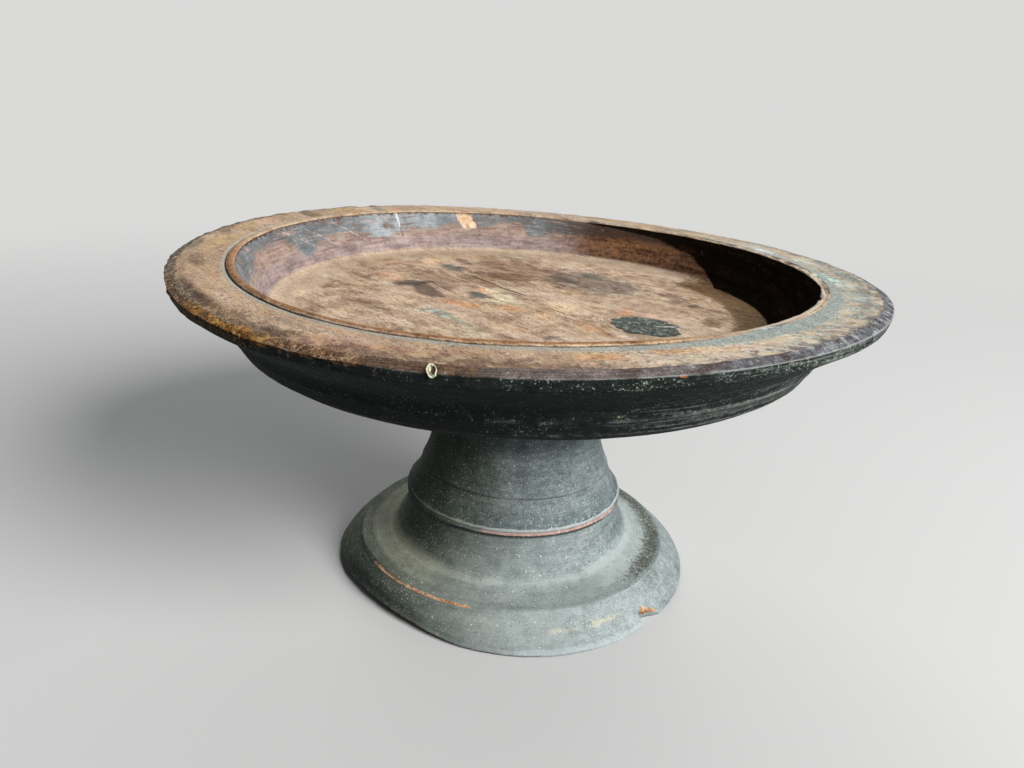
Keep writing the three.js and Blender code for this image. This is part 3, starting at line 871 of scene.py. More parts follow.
BOARD_MARKS = [
    # middle x and y, half length, half width, lie in degrees, red, green, blue, strength
    (-4, 76, 38, 26, -20, 150, 120, 94, 0.8), (46, 60, 40, 28, -48, 156, 134, 113, 0.6),
    (-178, -46, 14, 4, -66, 122, 94, 72, 0.75), (-152, -112, 20, 5, -48, 116, 90, 68, 0.7),
    (-180, 42, 13, 6, 78, 208, 178, 134, 0.75), (-182, -8, 14, 6, 90, 210, 182, 138, 0.75),
    (-170, 84, 16, 5, 62, 200, 172, 130, 0.7), (-58, 42, 30, 13, -58, 148, 120, 96, 0.75),
    (-72, 28, 12, 6, 25, 88, 76, 64, 1.0), (-60, 12, 17, 7, -62, 108, 86, 72, 0.95),
    (-103, 35, 15, 3, -46, 128, 100, 78, 0.75), (-88, 42, 12, 7, -55, 210, 168, 132, 0.7),
    (-96, 84, 18, 12, -60, 204, 170, 134, 0.6), (-14, 58, 22, 11, -10, 136, 106, 82, 0.7),
    (-30, 44, 20, 7, -52, 140, 108, 84, 0.7), (-22, 98, 16, 9, -80, 150, 120, 96, 0.6),
    (-65, 92, 14, 9, 80, 214, 180, 142, 0.85), (-49, 76, 12, 6, -55, 100, 98, 90, 0.9),
    (-44, 98, 9, 4, -50, 110, 88, 70, 0.75), (18, 76, 9, 8, 0, 200, 166, 142, 0.7),
    (-28, 6, 9, 4, -60, 92, 92, 88, 0.9), (-15, 10, 21, 6, -55, 232, 216, 184, 1.0),
    (-17, -5, 9, 6, -20, 224, 208, 172, 0.9), (-26, 20, 6, 3, -50, 212, 150, 112, 0.8),
    (-38, -14, 13, 5, -25, 204, 150, 104, 0.8), (-26, -18, 7, 5, 10, 212, 182, 140, 0.7),
    (-8, -20, 9, 5, -40, 204, 152, 110, 0.8), (24, -14, 15, 9, -50, 218, 186, 150, 0.85),
    (12, -37, 12, 6, -80, 214, 182, 150, 0.7), (26, 28, 12, 9, -50, 208, 178, 146, 0.6),
    (-54, -30, 6, 4, 10, 134, 132, 114, 0.8), (-45, -38, 9, 4, -52, 120, 122, 106, 0.8),
    (-34, -52, 9, 2.6, -50, 140, 136, 116, 0.75), (-50, -32, 4, 1.6, 20, 236, 232, 212, 0.9),
    (-42, -44, 5, 1.4, -50, 224, 216, 192, 0.8), (-28, -68, 13, 7, -50, 218, 200, 172, 0.8),
    (-12, -44, 9, 8, 0, 164, 132, 108, 0.8), (-8, -60, 12, 6, -20, 206, 172, 138, 0.6),
    (15, -74, 5, 3, 0, 110, 98, 94, 0.8), (36, -52, 14, 5, -60, 206, 158, 120, 0.6),
    (60, -17, 6, 5, 60, 208, 150, 112, 0.7), (48, 54, 34, 22, -50, 150, 132, 114, 0.85),
    (46, 78, 12, 7, -70, 128, 124, 106, 0.75), (24, 60, 14, 9, -30, 146, 124, 106, 0.6),
    (96, 24, 16, 6, -80, 142, 122, 104, 0.7), (104, 6, 6, 3.4, 60, 104, 90, 76, 0.8),
    (106, -32, 10, 5, 75, 128, 100, 74, 0.8), (80, -2, 20, 8, -40, 176, 150, 126, 0.5),
    (70, 96, 40, 20, -30, 204, 174, 150, 0.5), (-133, -11, 7, 4.4, -70, 236, 208, 170, 0.95),
    (-116, 3, 4, 1.8, 5, 240, 212, 178, 0.95), (-92, -24, 20, 7, -40, 152, 126, 102, 0.7),
    (-66, -46, 24, 5, -48, 170, 142, 114, 0.6), (20, 112, 30, 10, -40, 192, 164, 142, 0.5),
    (-10, 128, 12, 5, -60, 168, 164, 140, 0.6), (84, -45, 8, 0.9, 20, 214, 216, 206, 0.6),
    (78, -24, 14, 4, 150, 224, 190, 166, 0.8), (52, -64, 9, 3.4, 125, 220, 196, 176, 0.8),
    # on the flange
    (186, -6, 24, 5, 90, 126, 138, 138, 0.75), (187, 38, 14, 4, 82, 108, 98, 94, 0.7),
    (180, 66, 10, 4, 72, 122, 106, 98, 0.65), (178, -54, 14, 4, 72, 124, 112, 102, 0.75),
    (168, -84, 12, 3.4, 58, 112, 94, 84, 0.8), (157, -106, 10, 2.6, 48, 118, 96, 84, 0.8),
    (172, -20, 18, 5, 92, 176, 196, 180, 0.7), (174, 24, 18, 6, 88, 206, 198, 176, 0.7),
    (158, 92, 14, 6, 118, 206, 194, 172, 0.7), (126, 140, 12, 4, 135, 132, 136, 126, 0.6),
    (108, 142, 10, 5, 140, 150, 154, 140, 0.6), (163, -74, 9, 5, 62, 196, 148, 110, 0.7),
    (166, -78, 3, 2, 0, 84, 66, 50, 0.8), (150, -98, 16, 5, 60, 222, 190, 158, 0.9),
    (138, -122, 12, 5, 50, 220, 186, 150, 0.9), (120, -128, 14, 3, 48, 196, 210, 198, 0.8),
    (112, -149, 14, 4.5, 38, 216, 190, 156, 0.8), (84, -166, 16, 4, 28, 214, 170, 130, 0.7),
    (104, -138, 12, 4, 40, 162, 174, 164, 0.8), (150, -122, 12, 1.4, 10, 122, 92, 84, 0.8),
    (142, -131, 12, 1.4, 4, 120, 90, 82, 0.8), (133, -139, 12, 1.5, 0, 124, 94, 84, 0.75),
    (176, -46, 16, 7, 78, 176, 168, 146, 0.6), (168, -70, 12, 6, 66, 158, 166, 158, 0.8),
    (168, -8, 18, 6, 88, 214, 190, 160, 0.7), (160, 65, 12, 4.5, 105, 226, 230, 228, 1.0),
    (-150, 118, 30, 8, 132, 166, 146, 124, 0.6), (129, 126, 16, 5, 135, 220, 200, 160, 0.8),
    (170, 90, 12, 7, 115, 190, 172, 146, 0.6), (51, 161, 6, 3.5, 90, 90, 76, 72, 0.8),
    (2, 168, 5, 4, 90, 84, 84, 80, 0.85), (20, 182, 40, 8, 175, 186, 168, 158, 0.6),
    (-112, 137, 14, 3.6, 125, 128, 132, 118, 0.9), (-98, 137, 12, 5, 125, 212, 172, 142, 0.8),
    (-132, 118, 20, 9, 140, 206, 174, 128, 0.7), (-152, 96, 16, 6, 130, 124, 98, 76, 0.8),
    (-176, 93, 9, 5, 120, 92, 70, 56, 0.9), (-171, 62, 12, 7, 110, 206, 166, 140, 0.7),
    (-188, 30, 16, 4, 100, 120, 98, 82, 0.6), (-178, 2, 16, 8, 90, 196, 164, 124, 0.6),
    (-193, -10, 12, 4, 90, 108, 106, 96, 0.7), (-164, -98, 24, 5, -58, 120, 96, 78, 0.7),
    (-150, -128, 14, 5, -50, 150, 98, 52, 0.85), (-136, -134, 12, 4, -30, 124, 100, 80, 0.7),
    (-112, -154, 16, 5, -30, 116, 98, 84, 0.8), (-79, -168, 16, 5, -20, 164, 130, 116, 0.8),
    (-100, -146, 10, 3, -40, 134, 122, 112, 0.6), (-40, -178, 26, 4, -10, 176, 142, 118, 0.7),
    (28, -182, 10, 4, 10, 216, 160, 112, 0.8), (60, -171, 12, 3.5, 18, 212, 158, 112, 0.8),
    (0, -172, 24, 4, 0, 204, 176, 150, 0.6),
]

FLOOR_CRACKS = [
    # one end's x and y, the other end's x and y, half width
    (-43, 64, -23, 40, 0.9), (-27, 46, -11, 24, 0.8), (-14, 28, 2, 11, 1.0), (12, -14, 28, -30, 0.4),
    (16, -28, 34, -44, 0.35), (-60, 34, -44, 10, 0.4),
]

BEVEL_SCRATCHES = [
    # one end's angle and radius, the other end's angle and radius
    (-60.5, 187, -57.5, 198), (-57.5, 188, -54.8, 198), (-54.5, 188, -52.6, 197), (-47, 184, -44.6, 196),
    (-43.5, 184, -41.6, 195), (-40.5, 185, -38.8, 194),
]
SCRATCH_HALF_WIDTH = 0.8

# Their paleness is partly painted light and shade: low from 32 to 70 degrees as shadow, high at the back as
# sheen.
SLATE_REACH = [
    # angle round the well, how far down the wall its slate paint still reaches there, and how pale it is
    (-180, 0.3, 0.3), (-172, 0.6, 0.25), (-160, 0.5, 0.3), (-140, 0.5, 0.3), (-110, 0.35, 0.4),
    (-75, 0.6, 0.3), (-40, 0.9, 0.2), (32, 0.6, -0.3), (50, 0.35, -0.3), (60, 0.4, -0.25), (70, 0.5, -0.15),
    (84, 0.6, 0.08), (89, 0.7, 0.15), (92, 0.25, 0.3), (98, 0.3, 0.4), (104, 0.6, 0.45), (110, 0.4, 0.5),
    (118, 0.5, 0.6), (126, 0.62, 0.85), (133, 0.8, 0.85), (140, 0.55, 0.5), (150, 0.5, 0.3),
    (160, 0.95, 0.25), (163, 0.6, 0.2), (168, 0.35, 0.2), (180, 0.3, 0.2),
]
WALL_SHADE_REACH = [
    # angle round the well, and how far down the wall the painted shade reaches there
    (-180, 0), (-88, 0), (-62, 0.5), (-45, 1.1), (-38, 1.9), (26, 1.9), (34, 1.0), (42, 0.6), (52, 0.34),
    (66, 0.14), (80, 0), (180, 0),
]
DUST_WIDTH = [
    # angle round the mouth, and the width of the ring of dust that lies outside the bead there
    (-180, 0.4), (-166, 0.9), (-150, 1.8), (-120, 3), (-90, 4.4), (-75, 6), (-60, 8), (-45, 9.5), (-30, 7),
    (-10, 3.5), (20, 2.4), (60, 1.6), (120, 0.6), (180, 0.4),
]

# The angles round the dish between which small marks lie: the white streak on the well's wall, the dark
# streak below it, the tan chip, the scratches that slant down the wall, and the orange speck on the rim's
# edge
WHITE_STREAK_ANGLES = (126.7, 127.2)
TAIL_ANGLES = (126.7, 127.0)
TAN_CHIP_ANGLES = (105.2, 109.8)
SLANT_ANGLES = ((166, 152), (158, 146), (148, 136))
SPECK_ANGLES = (-73.6, -72.9)
# The smear on the knot: middle x and y, half length, half width, lie in degrees
KNOT_SMEAR = (79, -45, 6.5, 0.9, 8)


def round_about(angle, table, column=1):
    """A table's value at each angle, with straight changes between its rows."""
    columns = list(zip(*table))
    return np.interp(angle, columns[0], columns[column])


# How far from a mark's middle it fades out and is whole, both squared and in half lengths or half widths
MARK_OUTSIDE = 1.7
MARK_INSIDE = 0.45


class Marks:
    """Ragged oval marks on a face seen from above: noise shifts their edges along and across the grain."""

    def __init__(self, s, along, across, ragged):
        x, y = turned(GRAIN_ANGLE, along, across)
        self.s = s
        self.place = s.node("CombineXYZ", {0: s.x + x, 1: s.y + y, 2: 1.0})
        self.ragged = ragged

    def measure(self, along_x, along_y, start):
        """The shifted place's x and y, each times a number, plus a start."""
        weights = (along_x, along_y, start)
        return self.s.node("VectorMath", {0: self.place, 1: weights}, output="Value", operation="DOT_PRODUCT")

    def spot(self, x, y, half_length, half_width, lie, strength=1.0):
        """A mask of an oval whose middle is at x and y and whose long side lies at an angle."""
        cos, sin = math.cos(math.radians(lie)), math.sin(math.radians(lie))
        out = self.measure(cos / half_length, sin / half_length, -(x * cos + y * sin) / half_length)
        off = self.measure(-sin / half_width, cos / half_width, (x * sin - y * cos) / half_width)
        square = self.s.node("Math", {0: out, 1: out, 2: self.ragged}, operation="MULTIPLY_ADD")
        square = self.s.node("Math", {0: off, 1: off, 2: square}, operation="MULTIPLY_ADD")
        return self.s.fade(square, MARK_OUTSIDE, MARK_INSIDE, strength)

    def lines(self, rows):
        """A mask of thin lines, each between two places and tapered at both ends."""
        total = 0.0
        for ax, ay, bx, by, half_width in rows:
            lie = math.degrees(math.atan2(by - ay, bx - ax))
            half_length = math.hypot(bx - ax, by - ay) / 2
            line = self.spot((ax + bx) / 2, (ay + by) / 2, half_length, half_width, lie)
            total = self.s.most(total, line)
        return total


def mark_board(s, grain):
    """The stains, pale patches and cracks of the dish's face, each where the photograph shows it."""
    unmarked = s.tint
    ragged = grain.streak * 0.3 + s.mottle(0.3, 0.2, 0.4)
    marks = Marks(s, grain.streak * 3.4 + grain.fibre * 1.8, s.mottle(0, 1.0, 1.4), ragged)
    for x, y, half_length, half_width, lie, *tint, strength in BOARD_MARKS:
        s.stain(marks.spot(x, y, half_length, half_width, lie, strength), tint)
    on_face = s.fade(s.zone, BEVEL + 0.2, BEVEL)
    s.tint = s.mix(on_face, unmarked, s.tint)
    lines = Marks(s, 0.0, s.mottle(0, 0.5, 0.7) + grain.fibre * 0.3, s.grit * 0.3)
    cracks = lines.lines(FLOOR_CRACKS) * s.fade(s.zone, COVE + 0.5, COVE)
    s.cover(cracks * 0.85, (46, 35, 28))
    s.raise_by(cracks * -0.5)
    feathered = s.fade(grain.knot_distance + ragged * 6.0, KNOT_RADIUS + 7.0, KNOT_RADIUS - 1.0)
    s.stain(feathered * on_face * 0.4, (140, 118, 96))


def lay_corner(s):
    """The paler band and specks of dust where the floor meets the wall, and a painted brown shadow at its
    right.
    """
    corner = s.band(s.zone + s.mottle(0, 0.08, 0.04), FLOOR + 0.93, COVE + 0.6, 0.16)
    lit = s.fade(s.mask("shade"), 0.4, 0.0)
    s.cover(corner * lit * 0.55, (200, 177, 153))
    seam = s.band(s.zone + s.crumbs * 0.1, COVE + 0.3, COVE + 0.8, 0.4)
    s.cover(seam * s.fade(s.crumbs, -0.1, 0.4) * 0.5, (124, 98, 84))
    s.cover(seam * s.fade(s.mottle(1, 0.4), 0.25, 0.6) * (0.25 + lit * 0.55), (228, 214, 190))
    # Painted shadow: the floor's right edge is stained brown where the right wall's shadow falls.
    shade = s.torn("shade", 0.3, 0.9, 0, 0.25, 0.3)
    s.stain(shade * 0.95, (112, 84, 50))


def lay_flange_dirt(s, grain, paint):
    """Stains towards the flange's outside, and green-grey paint left in its grain on the right."""
    on_flange = s.band(s.zone, GROOVE, BEVEL + 0.15, 0.2)
    stain = s.fade(s.mask("stain") + grain.streak * 0.4 + s.blotch * 0.35, 0.4, 1.0)
    s.stain(stain * 0.8, (118, 92, 74))
    worn = grain.streak * 0.45 + s.mottle(0, 0.3, 0.7)
    s.stain(on_flange * s.fade(worn, 0.0, 0.5) * 0.65, (132, 104, 80))
    s.cover(on_flange * s.fade(worn + s.grit * 0.3, -0.05, -0.55) * 0.45, (220, 194, 152))
    warm = s.sweep(5.0, 5.0)
    s.stain(on_flange * s.fade(warm + s.crumbs * 0.3 - s.mask("cool_and_lit") * 0.5, 0.1, 0.8) * 0.5, (206, 158, 118))
    # The lit right is paler and greyer: partly grey dust, partly painted light.
    s.stain(on_flange * s.mask("cool_and_lit") * 0.6, (204, 196, 180))
    left_over = paint * 1.1 + warm * 0.3 + grain.streak * 0.16 + s.mottle(0.2, 0, 0.4)
    left_over = s.fade(left_over, 0.4, 0.78)
    green_grey = s.ramp(s.mottle(0.8, 0, 0.7), (-0.7, 106, 112, 104), (0.0, 154, 164, 154),
                        (0.8, 200, 206, 194))
    s.cover(left_over * on_flange * 0.85, green_grey)
    crumbled = on_flange * s.mask("cool_and_lit") * s.fade(s.mottle(0, 0.7, 0.6), 0.1, 0.55)
    s.cover(crumbled * 0.55, (118, 104, 90))


def lay_wall(s, paint):
    """The well's wall: worn wood, purplish at the left and rusty at the right, under slate paint."""
    on_wall = s.band(s.zone, COVE + 0.6, BEAD + 0.05, 0.3)
    long_sweep = s.sweep(7.0, 2.6)
    scratch = s.sweep(14.0, 0.8)
    tone = long_sweep * 0.4 + scratch * 0.16 + s.mottle(0.22, 0.15, 0.3)
    worn = s.ramp(tone, (-0.8, 88, 72, 66), (-0.25, 132, 111, 101), (0.15, 164, 142, 129),
                  (0.5, 192, 166, 146), (0.9, 216, 192, 170))
    rusty = s.ramp(tone + s.crumbs * 0.3, (-0.7, 44, 30, 22), (-0.15, 88, 60, 42), (0.25, 132, 92, 62),
                   (0.8, 190, 136, 86))
    rust = s.fade(s.mask("rust") + s.blotch * 0.25, 0.2, 0.9)
    s.cover(on_wall, s.mix(rust, worn, rusty))
    lower = s.fade(s.zone + s.crumbs * 0.1, WALL + 0.45, WALL)
    s.stain(on_wall * lower * 0.5, (176, 160, 152))
    # The slate's paleness, from the table, is partly painted shade and sheen.
    slate = s.ramp(scratch * 0.2 + s.mottle(0.2, 0, 0.3, 0.3) + s.mask("pale") * 1.2 - 0.55,
                   (-0.9, 52, 58, 60), (-0.3, 86, 98, 102), (0.2, 124, 136, 142), (0.7, 168, 180, 184))
    left_over = paint * 0.75 + long_sweep * 0.45 + scratch * 0.25 + s.mottle(0, 0.25, 0.3, 0.15)
    left_over = s.fade(left_over, 0.2, 0.7) * on_wall
    # Painted shade: the slate left on the rusty right turns dark brown, where the wall lies in shadow.
    s.cover(left_over * 0.85, s.mix(rust * 0.8, slate, colour(50, 38, 31)))
    dashes = s.fade(s.sweep(8.0, 1.6) + s.mottle(0, 0.3, 0.2), 0.3, 0.7) * on_wall
    s.cover(dashes * s.fade(rust, 0.6, 0.0) * 0.55, (196, 162, 146))
    s.raise_by(left_over * 0.12 + scratch * 0.05 * on_wall)

    angle = s.angle()
    white_streak = s.band(angle + s.mottle(0, 0.25, 0.4), *WHITE_STREAK_ANGLES, 0.3)
    white_streak = white_streak * s.band(s.zone, WALL + 0.5, BEAD + 0.1, 0.2)
    s.cover(white_streak * 0.9, (218, 222, 220))
    s.raise_by(white_streak * 0.3)
    tail = s.band(angle + s.blotch * 0.4, *TAIL_ANGLES, 0.2) * s.band(s.zone, WALL + 0.2, WALL + 0.55, 0.1)
    s.cover(tail * 0.7, (60, 62, 62))
    slid = angle + s.fade(s.zone, BEAD, WALL + 0.5) * 1.3
    chip = s.band(slid + s.mottle(0, 0.25, 0.9), *TAN_CHIP_ANGLES, 0.7)
    chip = chip * s.band(s.zone + s.mottle(0, 0.05, 0.1), WALL + 0.5, BEAD + 0.4, 0.14)
    chipped = s.ramp(s.mottle(0.3, 0.6, 0.5), (-0.6, 200, 160, 122),
                     (0.1, 229, 199, 166), (0.7, 241, 222, 195))
    s.cover(chip * 0.95, chipped)
    s.raise_by(chip * -0.4)
    for start, end in SLANT_ANGLES:
        slant = angle - start - (1.0 - (s.zone - WALL)) * (end - start)
        line = s.fade(s.math("ABSOLUTE", slant + s.blotch * 0.5), 0.5, 0.15)
        line = line * s.band(s.zone, WALL + 0.2, WALL + 0.9, 0.2)
        s.cover(line * s.fade(s.crumbs, -0.3, 0.2) * 0.5, (206, 190, 182))


def lay_side_paint(s, grain, paint):
    """Dark paint on the bevel, the edge and everything below, painted paler and cooler on the lit right."""
    scratch = s.sweep(12.0, 0.8)
    light = s.mask("light")
    border = s.zone + grain.streak * 0.1 + s.mottle(0, 0.12, 0.18)
    on_side = s.fade(border, BEVEL - 0.07, BEVEL + 0.08)
    lower = s.fade(s.zone + s.crumbs * 0.12, EDGE - 0.12, EDGE + 0.16)
    tone = scratch * 0.35 + s.mottle(0.25, 0.35, 0.4)
    bevel = s.ramp(tone, (-0.9, 44, 36, 33), (-0.3, 78, 68, 64), (0.15, 106, 96, 91),
                   (0.6, 140, 126, 118), (1.0, 184, 166, 152))
    across = s.sweep(44.0, 10.0, 2.0)
    lit_bevel = s.ramp(tone * 0.8 + across * 0.5, (-0.8, 46, 40, 40), (-0.3, 72, 68, 72), (0.05, 98, 98, 104),
                  (0.45, 140, 142, 144), (1.0, 206, 194, 180))
    # Painted light: the bevel turns paler and cooler on the lit right.
    bevel = s.mix(s.fade(light + s.mottle(0, 0.2, 0.25), 0.4, 0.95), bevel, lit_bevel)
    brown = s.ramp(tone, (-0.7, 44, 33, 27), (-0.1, 82, 63, 51), (0.4, 122, 96, 76), (0.9, 176, 146, 116))
    bevel = s.mix(s.torn("brown", 0.4, 0.8, 0, 0.2, 0.3), bevel, brown)
    dark = s.ramp(tone, (-0.8, 18, 21, 20), (-0.1, 31, 36, 34), (0.4, 46, 52, 50), (1.0, 88, 94, 88))
    covered = s.fade(paint + s.mottle(0, 0.25, 0.25), 0.3, 0.5)
    s.cover(on_side * covered, s.mix(lower, bevel, dark))
    fringe = s.band(border, BEVEL - 0.12, BEVEL + 0.08, 0.12) * covered
    s.cover(fringe * 0.5, (98, 72, 60))
    streaks = s.sweep(4.0, 1.2)
    # Pale powder on the edge: partly dust, partly painted light on the lit right.
    powdered = s.fade(streaks * 0.7 + s.crumbs * 0.35 + light * 0.5 + s.mask("cool_and_lit") * 0.15, 0.5, 1.15)
    s.cover(powdered * lower * on_side * 0.6, (134, 144, 136))
    fleck = s.speckle(1.1, 1.0)
    on_edge = s.band(s.zone, EDGE, UNDER_RIM + 0.1, 0.2) * s.mask("flecked")
    clusters = s.mottle(0, 0, 0.35, 0.3) + on_edge * 0.22
    s.cover(on_side * s.fade(fleck + clusters, 0.8, 1.1) * 0.7, (160, 166, 156))
    angle = s.angle()
    speck = s.band(angle + s.crumbs * 0.3, *SPECK_ANGLES, 0.3)
    speck = speck * s.band(s.zone + s.crumbs * 0.06, EDGE, EDGE + 0.2, 0.06)
    s.cover(speck * 0.8, (196, 114, 66))
    return on_side, scratch


def lay_crust(s):
    """The rough outer edge: a grey-brown crust at the left and back, chewed bare at the left front."""
    crust = s.torn("crust", 0.4, 0.75, 0, 0.45, 0.3)
    s.cover(crust * 0.85, s.ramp(s.mottle(0.7, 0.8, 0.2), (-0.7, 36, 28, 22),
                                 (-0.15, 88, 72, 57), (0.25, 140, 125, 105), (0.8, 206, 193, 166)))
    chewed = s.torn("bare", 0.5, 0.85, 0, 0.3, 0.5)
    crumbled = s.ramp(s.mottle(0.5, 0.6, 0.45), (-0.8, 34, 25, 19),
                      (-0.3, 80, 58, 42), (0.1, 130, 98, 70), (0.45, 174, 140, 108),
                      (0.9, 224, 200, 166))
    golden = s.ramp(s.mottle(0.45, 0.6, 0.45), (-0.8, 40, 24, 14),
                    (-0.25, 100, 62, 32), (0.15, 162, 112, 52), (0.5, 204, 158, 82), (0.95, 228, 200, 140))
    s.cover(chewed * 0.92, s.mix(s.mask("gold"), crumbled, golden))
    s.raise_by(chewed * s.mottle(0.2, 0.45) + crust * s.crumbs * 0.3)


def lay_bead(s):
    """The thin orange-brown bead round the mouth, with a dark line on either side, fainter at the right."""
    fine = s.sweep(30.0, 1.6)
    wander = s.zone + s.crumbs * 0.1
    present = s.mask("bead")
    on_bead = s.band(wander, BEAD + 0.4, BEAD_SIDE + 0.4, 0.25)
    golden = s.ramp(fine * 0.4 + s.mottle(0.2, 0.45, 0.35), (-0.8, 62, 38, 22),
                    (-0.25, 116, 74, 40), (0.15, 164, 112, 64), (0.5, 200, 152, 102), (0.9, 230, 196, 152))
    # The worn bead turns pale on the lit right, partly painted light.
    s.cover(on_bead * (1.0 - present) * s.mask("cool_and_lit") * 0.75, (196, 190, 174))
    s.cover(on_bead * (0.05 + present * 0.8), golden)
    s.cover(on_bead * present * s.fade(s.mottle(0, 0.6, 0.5), 0.05, 0.5) * 0.6, (84, 56, 34))
    outer = s.band(wander, BEAD_SIDE + 0.65, GROOVE + 0.1, 0.3)
    inner = s.band(wander, WALL + 0.97, BEAD + 0.2, 0.04)
    s.cover(outer * present * 0.9, (40, 32, 27))
    s.cover(inner * (0.2 + present * 0.4 + s.mask("rim_line") * 0.5), (64, 48, 38))
    s.cover(on_bead * s.mask("rim_line") * 0.7, s.ramp(s.mottle(0, 0.6, 0.4), (-0.5, 150, 122, 94),
                                                       (0.5, 206, 182, 148)))


def lay_wall_shade(s):
    """Painted shade darkens the right of the wall nearly to black, with a little rust showing through."""
    streaks = s.sweep(5.0, 4.0)
    painted_wall_shade = s.fade(s.mask("soot_and_shade") + streaks * 0.25 + s.blotch * 0.15, 0.3, 0.75)
    s.cover(painted_wall_shade * 0.98, s.ramp(streaks * 0.5 + s.mottle(0, 0.3, 0, 0.3), (-0.6, 10, 8, 6),
                                 (0.2, 21, 15, 10), (0.9, 62, 40, 24)))
    return painted_wall_shade


def lay_dust(s, on_side):
    """Dust in the groove and on the right of the rim, partly painted light, and rubbed arrises below it."""
    powder = s.ramp(s.mottle(0.75, 0.35), (-0.8, 84, 92, 88), (-0.1, 140, 149, 144),
                    (0.5, 188, 196, 188), (0.9, 214, 220, 212))
    dusty = s.torn("dust", 0.3, 0.9, 0.3, 0.3, 0.15)
    # The dust is paler on the lit right, partly painted light.
    s.cover(dusty * (0.6 + s.mask("cool_and_lit") * 0.3), powder)
    arris = s.band(s.zone, EDGE - 0.1, EDGE + 0.06, 0.1)
    for edge, strength in ((STEP_ROUND, 0.5), (STEP + 0.1, 0.4), (STEP + 0.95, 0.8)):
        arris = arris + s.band(s.zone + s.crumbs * 0.06, edge - 0.08, edge + 0.06, 0.12) * strength
    # The rubbed arrises are strongest on the lit right: partly wear, partly painted highlight.
    rubbed = s.clamp(arris) * s.fade(s.blotch * 0.6 + s.sweep(9.0, 3.0) * 0.6 + s.mask("light"), -0.1, 1.0)
    s.cover(rubbed * on_side * 0.6, (160, 164, 160))
    reddish = s.band(s.zone + s.crumbs * 0.05, CHAMFER + 0.82, CHAMFER + 1.02, 0.1)
    s.cover(reddish * 0.5, (92, 60, 52))


def dish_material():
    """Bare wood on top, slate paint left on the well's wall, dark paint on the rim's side and below."""
    s = Surface("worn_dish_wood")
    grain = Grain(s)
    paint = s.mask("paint")
    lay_bare_wood(s, grain)
    mark_board(s, grain)
    lay_corner(s)
    lay_flange_dirt(s, grain, paint)
    lay_wall(s, paint)
    on_side, scratch = lay_side_paint(s, grain, paint)
    lay_crust(s)
    lay_bead(s)
    # Painted shade on the right of the wall, which also takes the gloss off there.
    painted_wall_shade = lay_wall_shade(s)
    lay_dust(s, on_side)
    ends = [(*turned(start, start_radius, 0), *turned(end, end_radius, 0), SCRATCH_HALF_WIDTH)
            for start, start_radius, end, end_radius in BEVEL_SCRATCHES]
    scratches = Marks(s, 0.0, s.mottle(0, 0.5, 0.7), s.grit * 0.5).lines(ends)
    s.cover(scratches * s.fade(s.zone, EDGE, BEVEL + 0.5) * 0.75, (212, 184, 172))
    relief = s.height + s.mottle(0.06, 0.11) + scratch * 0.04 * on_side
    return s.finish(s.tint, 0.8 + s.grit * 0.08, relief, gloss=(1.0 - painted_wall_shade) * 0.1)


def pedestal_material():
    """Slate green-grey paint under pale dust, bare wood where chipped or cracked, and painted light and
    shade.
    """
    s = Surface("dusty_slate_paint")
    scratch = s.sweep(5.0, 0.6)
    wide = s.sweep(2.5, 3.0)
    cool_and_lit = s.mask("cool_and_lit")
    tone = scratch * 0.1 + wide * 0.12 + s.mottle(0.24, 0.1, 0.16, 0.26)
    s.tint = s.ramp(tone, (-0.9, 44, 50, 47), (-0.3, 68, 77, 74), (0.2, 90, 101, 98), (0.9, 130, 141, 138))
    powder = s.ramp(s.mottle(0.4, 0.3, 0.2) + scratch * 0.12, (-0.8, 134, 140, 130),
                    (0.0, *POWDER), (0.8, 192, 198, 188))
    amount = s.mask("dust") * 1.1 + wide * 0.09 + scratch * 0.05 + s.mottle(0.2, 0.1, 0.11)
    s.cover(s.fade(amount, 0.0, 1.2), powder)
    # Painted highlight: bluish on the lit right.
    s.stain(cool_and_lit * 0.6, (186, 196, 206), plain=PLAIN_PAINT)
    # Painted shade: darker and yellower on the shaded left.
    s.stain(s.mask("warm") * 0.8, (180, 181, 160), plain=PLAIN_PAINT)
    rough = s.mask("speckle")
    s.stain(rough * s.fade(s.mottle(1, 0.6), 0.0, 0.8) * 0.75, (104, 106, 92), plain=POWDER)
    s.cover(rough * s.fade(s.mottle(1, 0.4), -0.3, -0.9) * 0.6, (202, 206, 190))
    s.cover(s.torn("smudge", 0.3, 1.1, 0.3, 0.3, 0.2) * 0.55, (212, 204, 170))
    # On the foot the same mask is a dark stain on the right of its ring.
    s.cover(s.torn("soot_and_shade", 0.35, 1.1, 0.6, 0.5) * 0.8, (62, 63, 50))
    redness = s.torn("red", 0.4, 0.8, 0, 0.2, 0.2)
    s.cover(redness * 0.9, s.ramp(s.mottle(0.3, 0.5) + scratch * 0.3, (-0.7, 112, 84, 78),
                                  (-0.1, 176, 138, 128), (0.4, 206, 168, 158), (0.9, 226, 206, 194)))
    raw = s.torn("bare", 0.5, 0.72, 0.12, 0.25)
    s.cover(raw, s.ramp(s.mottle(0.4, 0.6, 0.4), (-0.7, 92, 66, 50), (-0.1, 166, 122, 90),
                        (0.3, 196, 160, 124), (0.8, 224, 208, 176)))
    s.cover(s.fade(s.mask("crack") + s.crumbs * 0.15, 0.3, 0.8) * 0.85, (40, 38, 34))
    fleck = s.speckle(0.9, 1.0)
    flecks = s.fade(fleck + s.mottle(0, 0.2, 0, 0.25) - s.mask("dust") * 0.1, 0.76, 0.96)
    s.cover(flecks * 0.85, (216, 222, 214))
    relief = s.mottle(0.05, 0.05) + scratch * 0.04 + flecks * 0.1
    return s.finish(s.tint, 0.76 + s.grit * 0.08, relief)


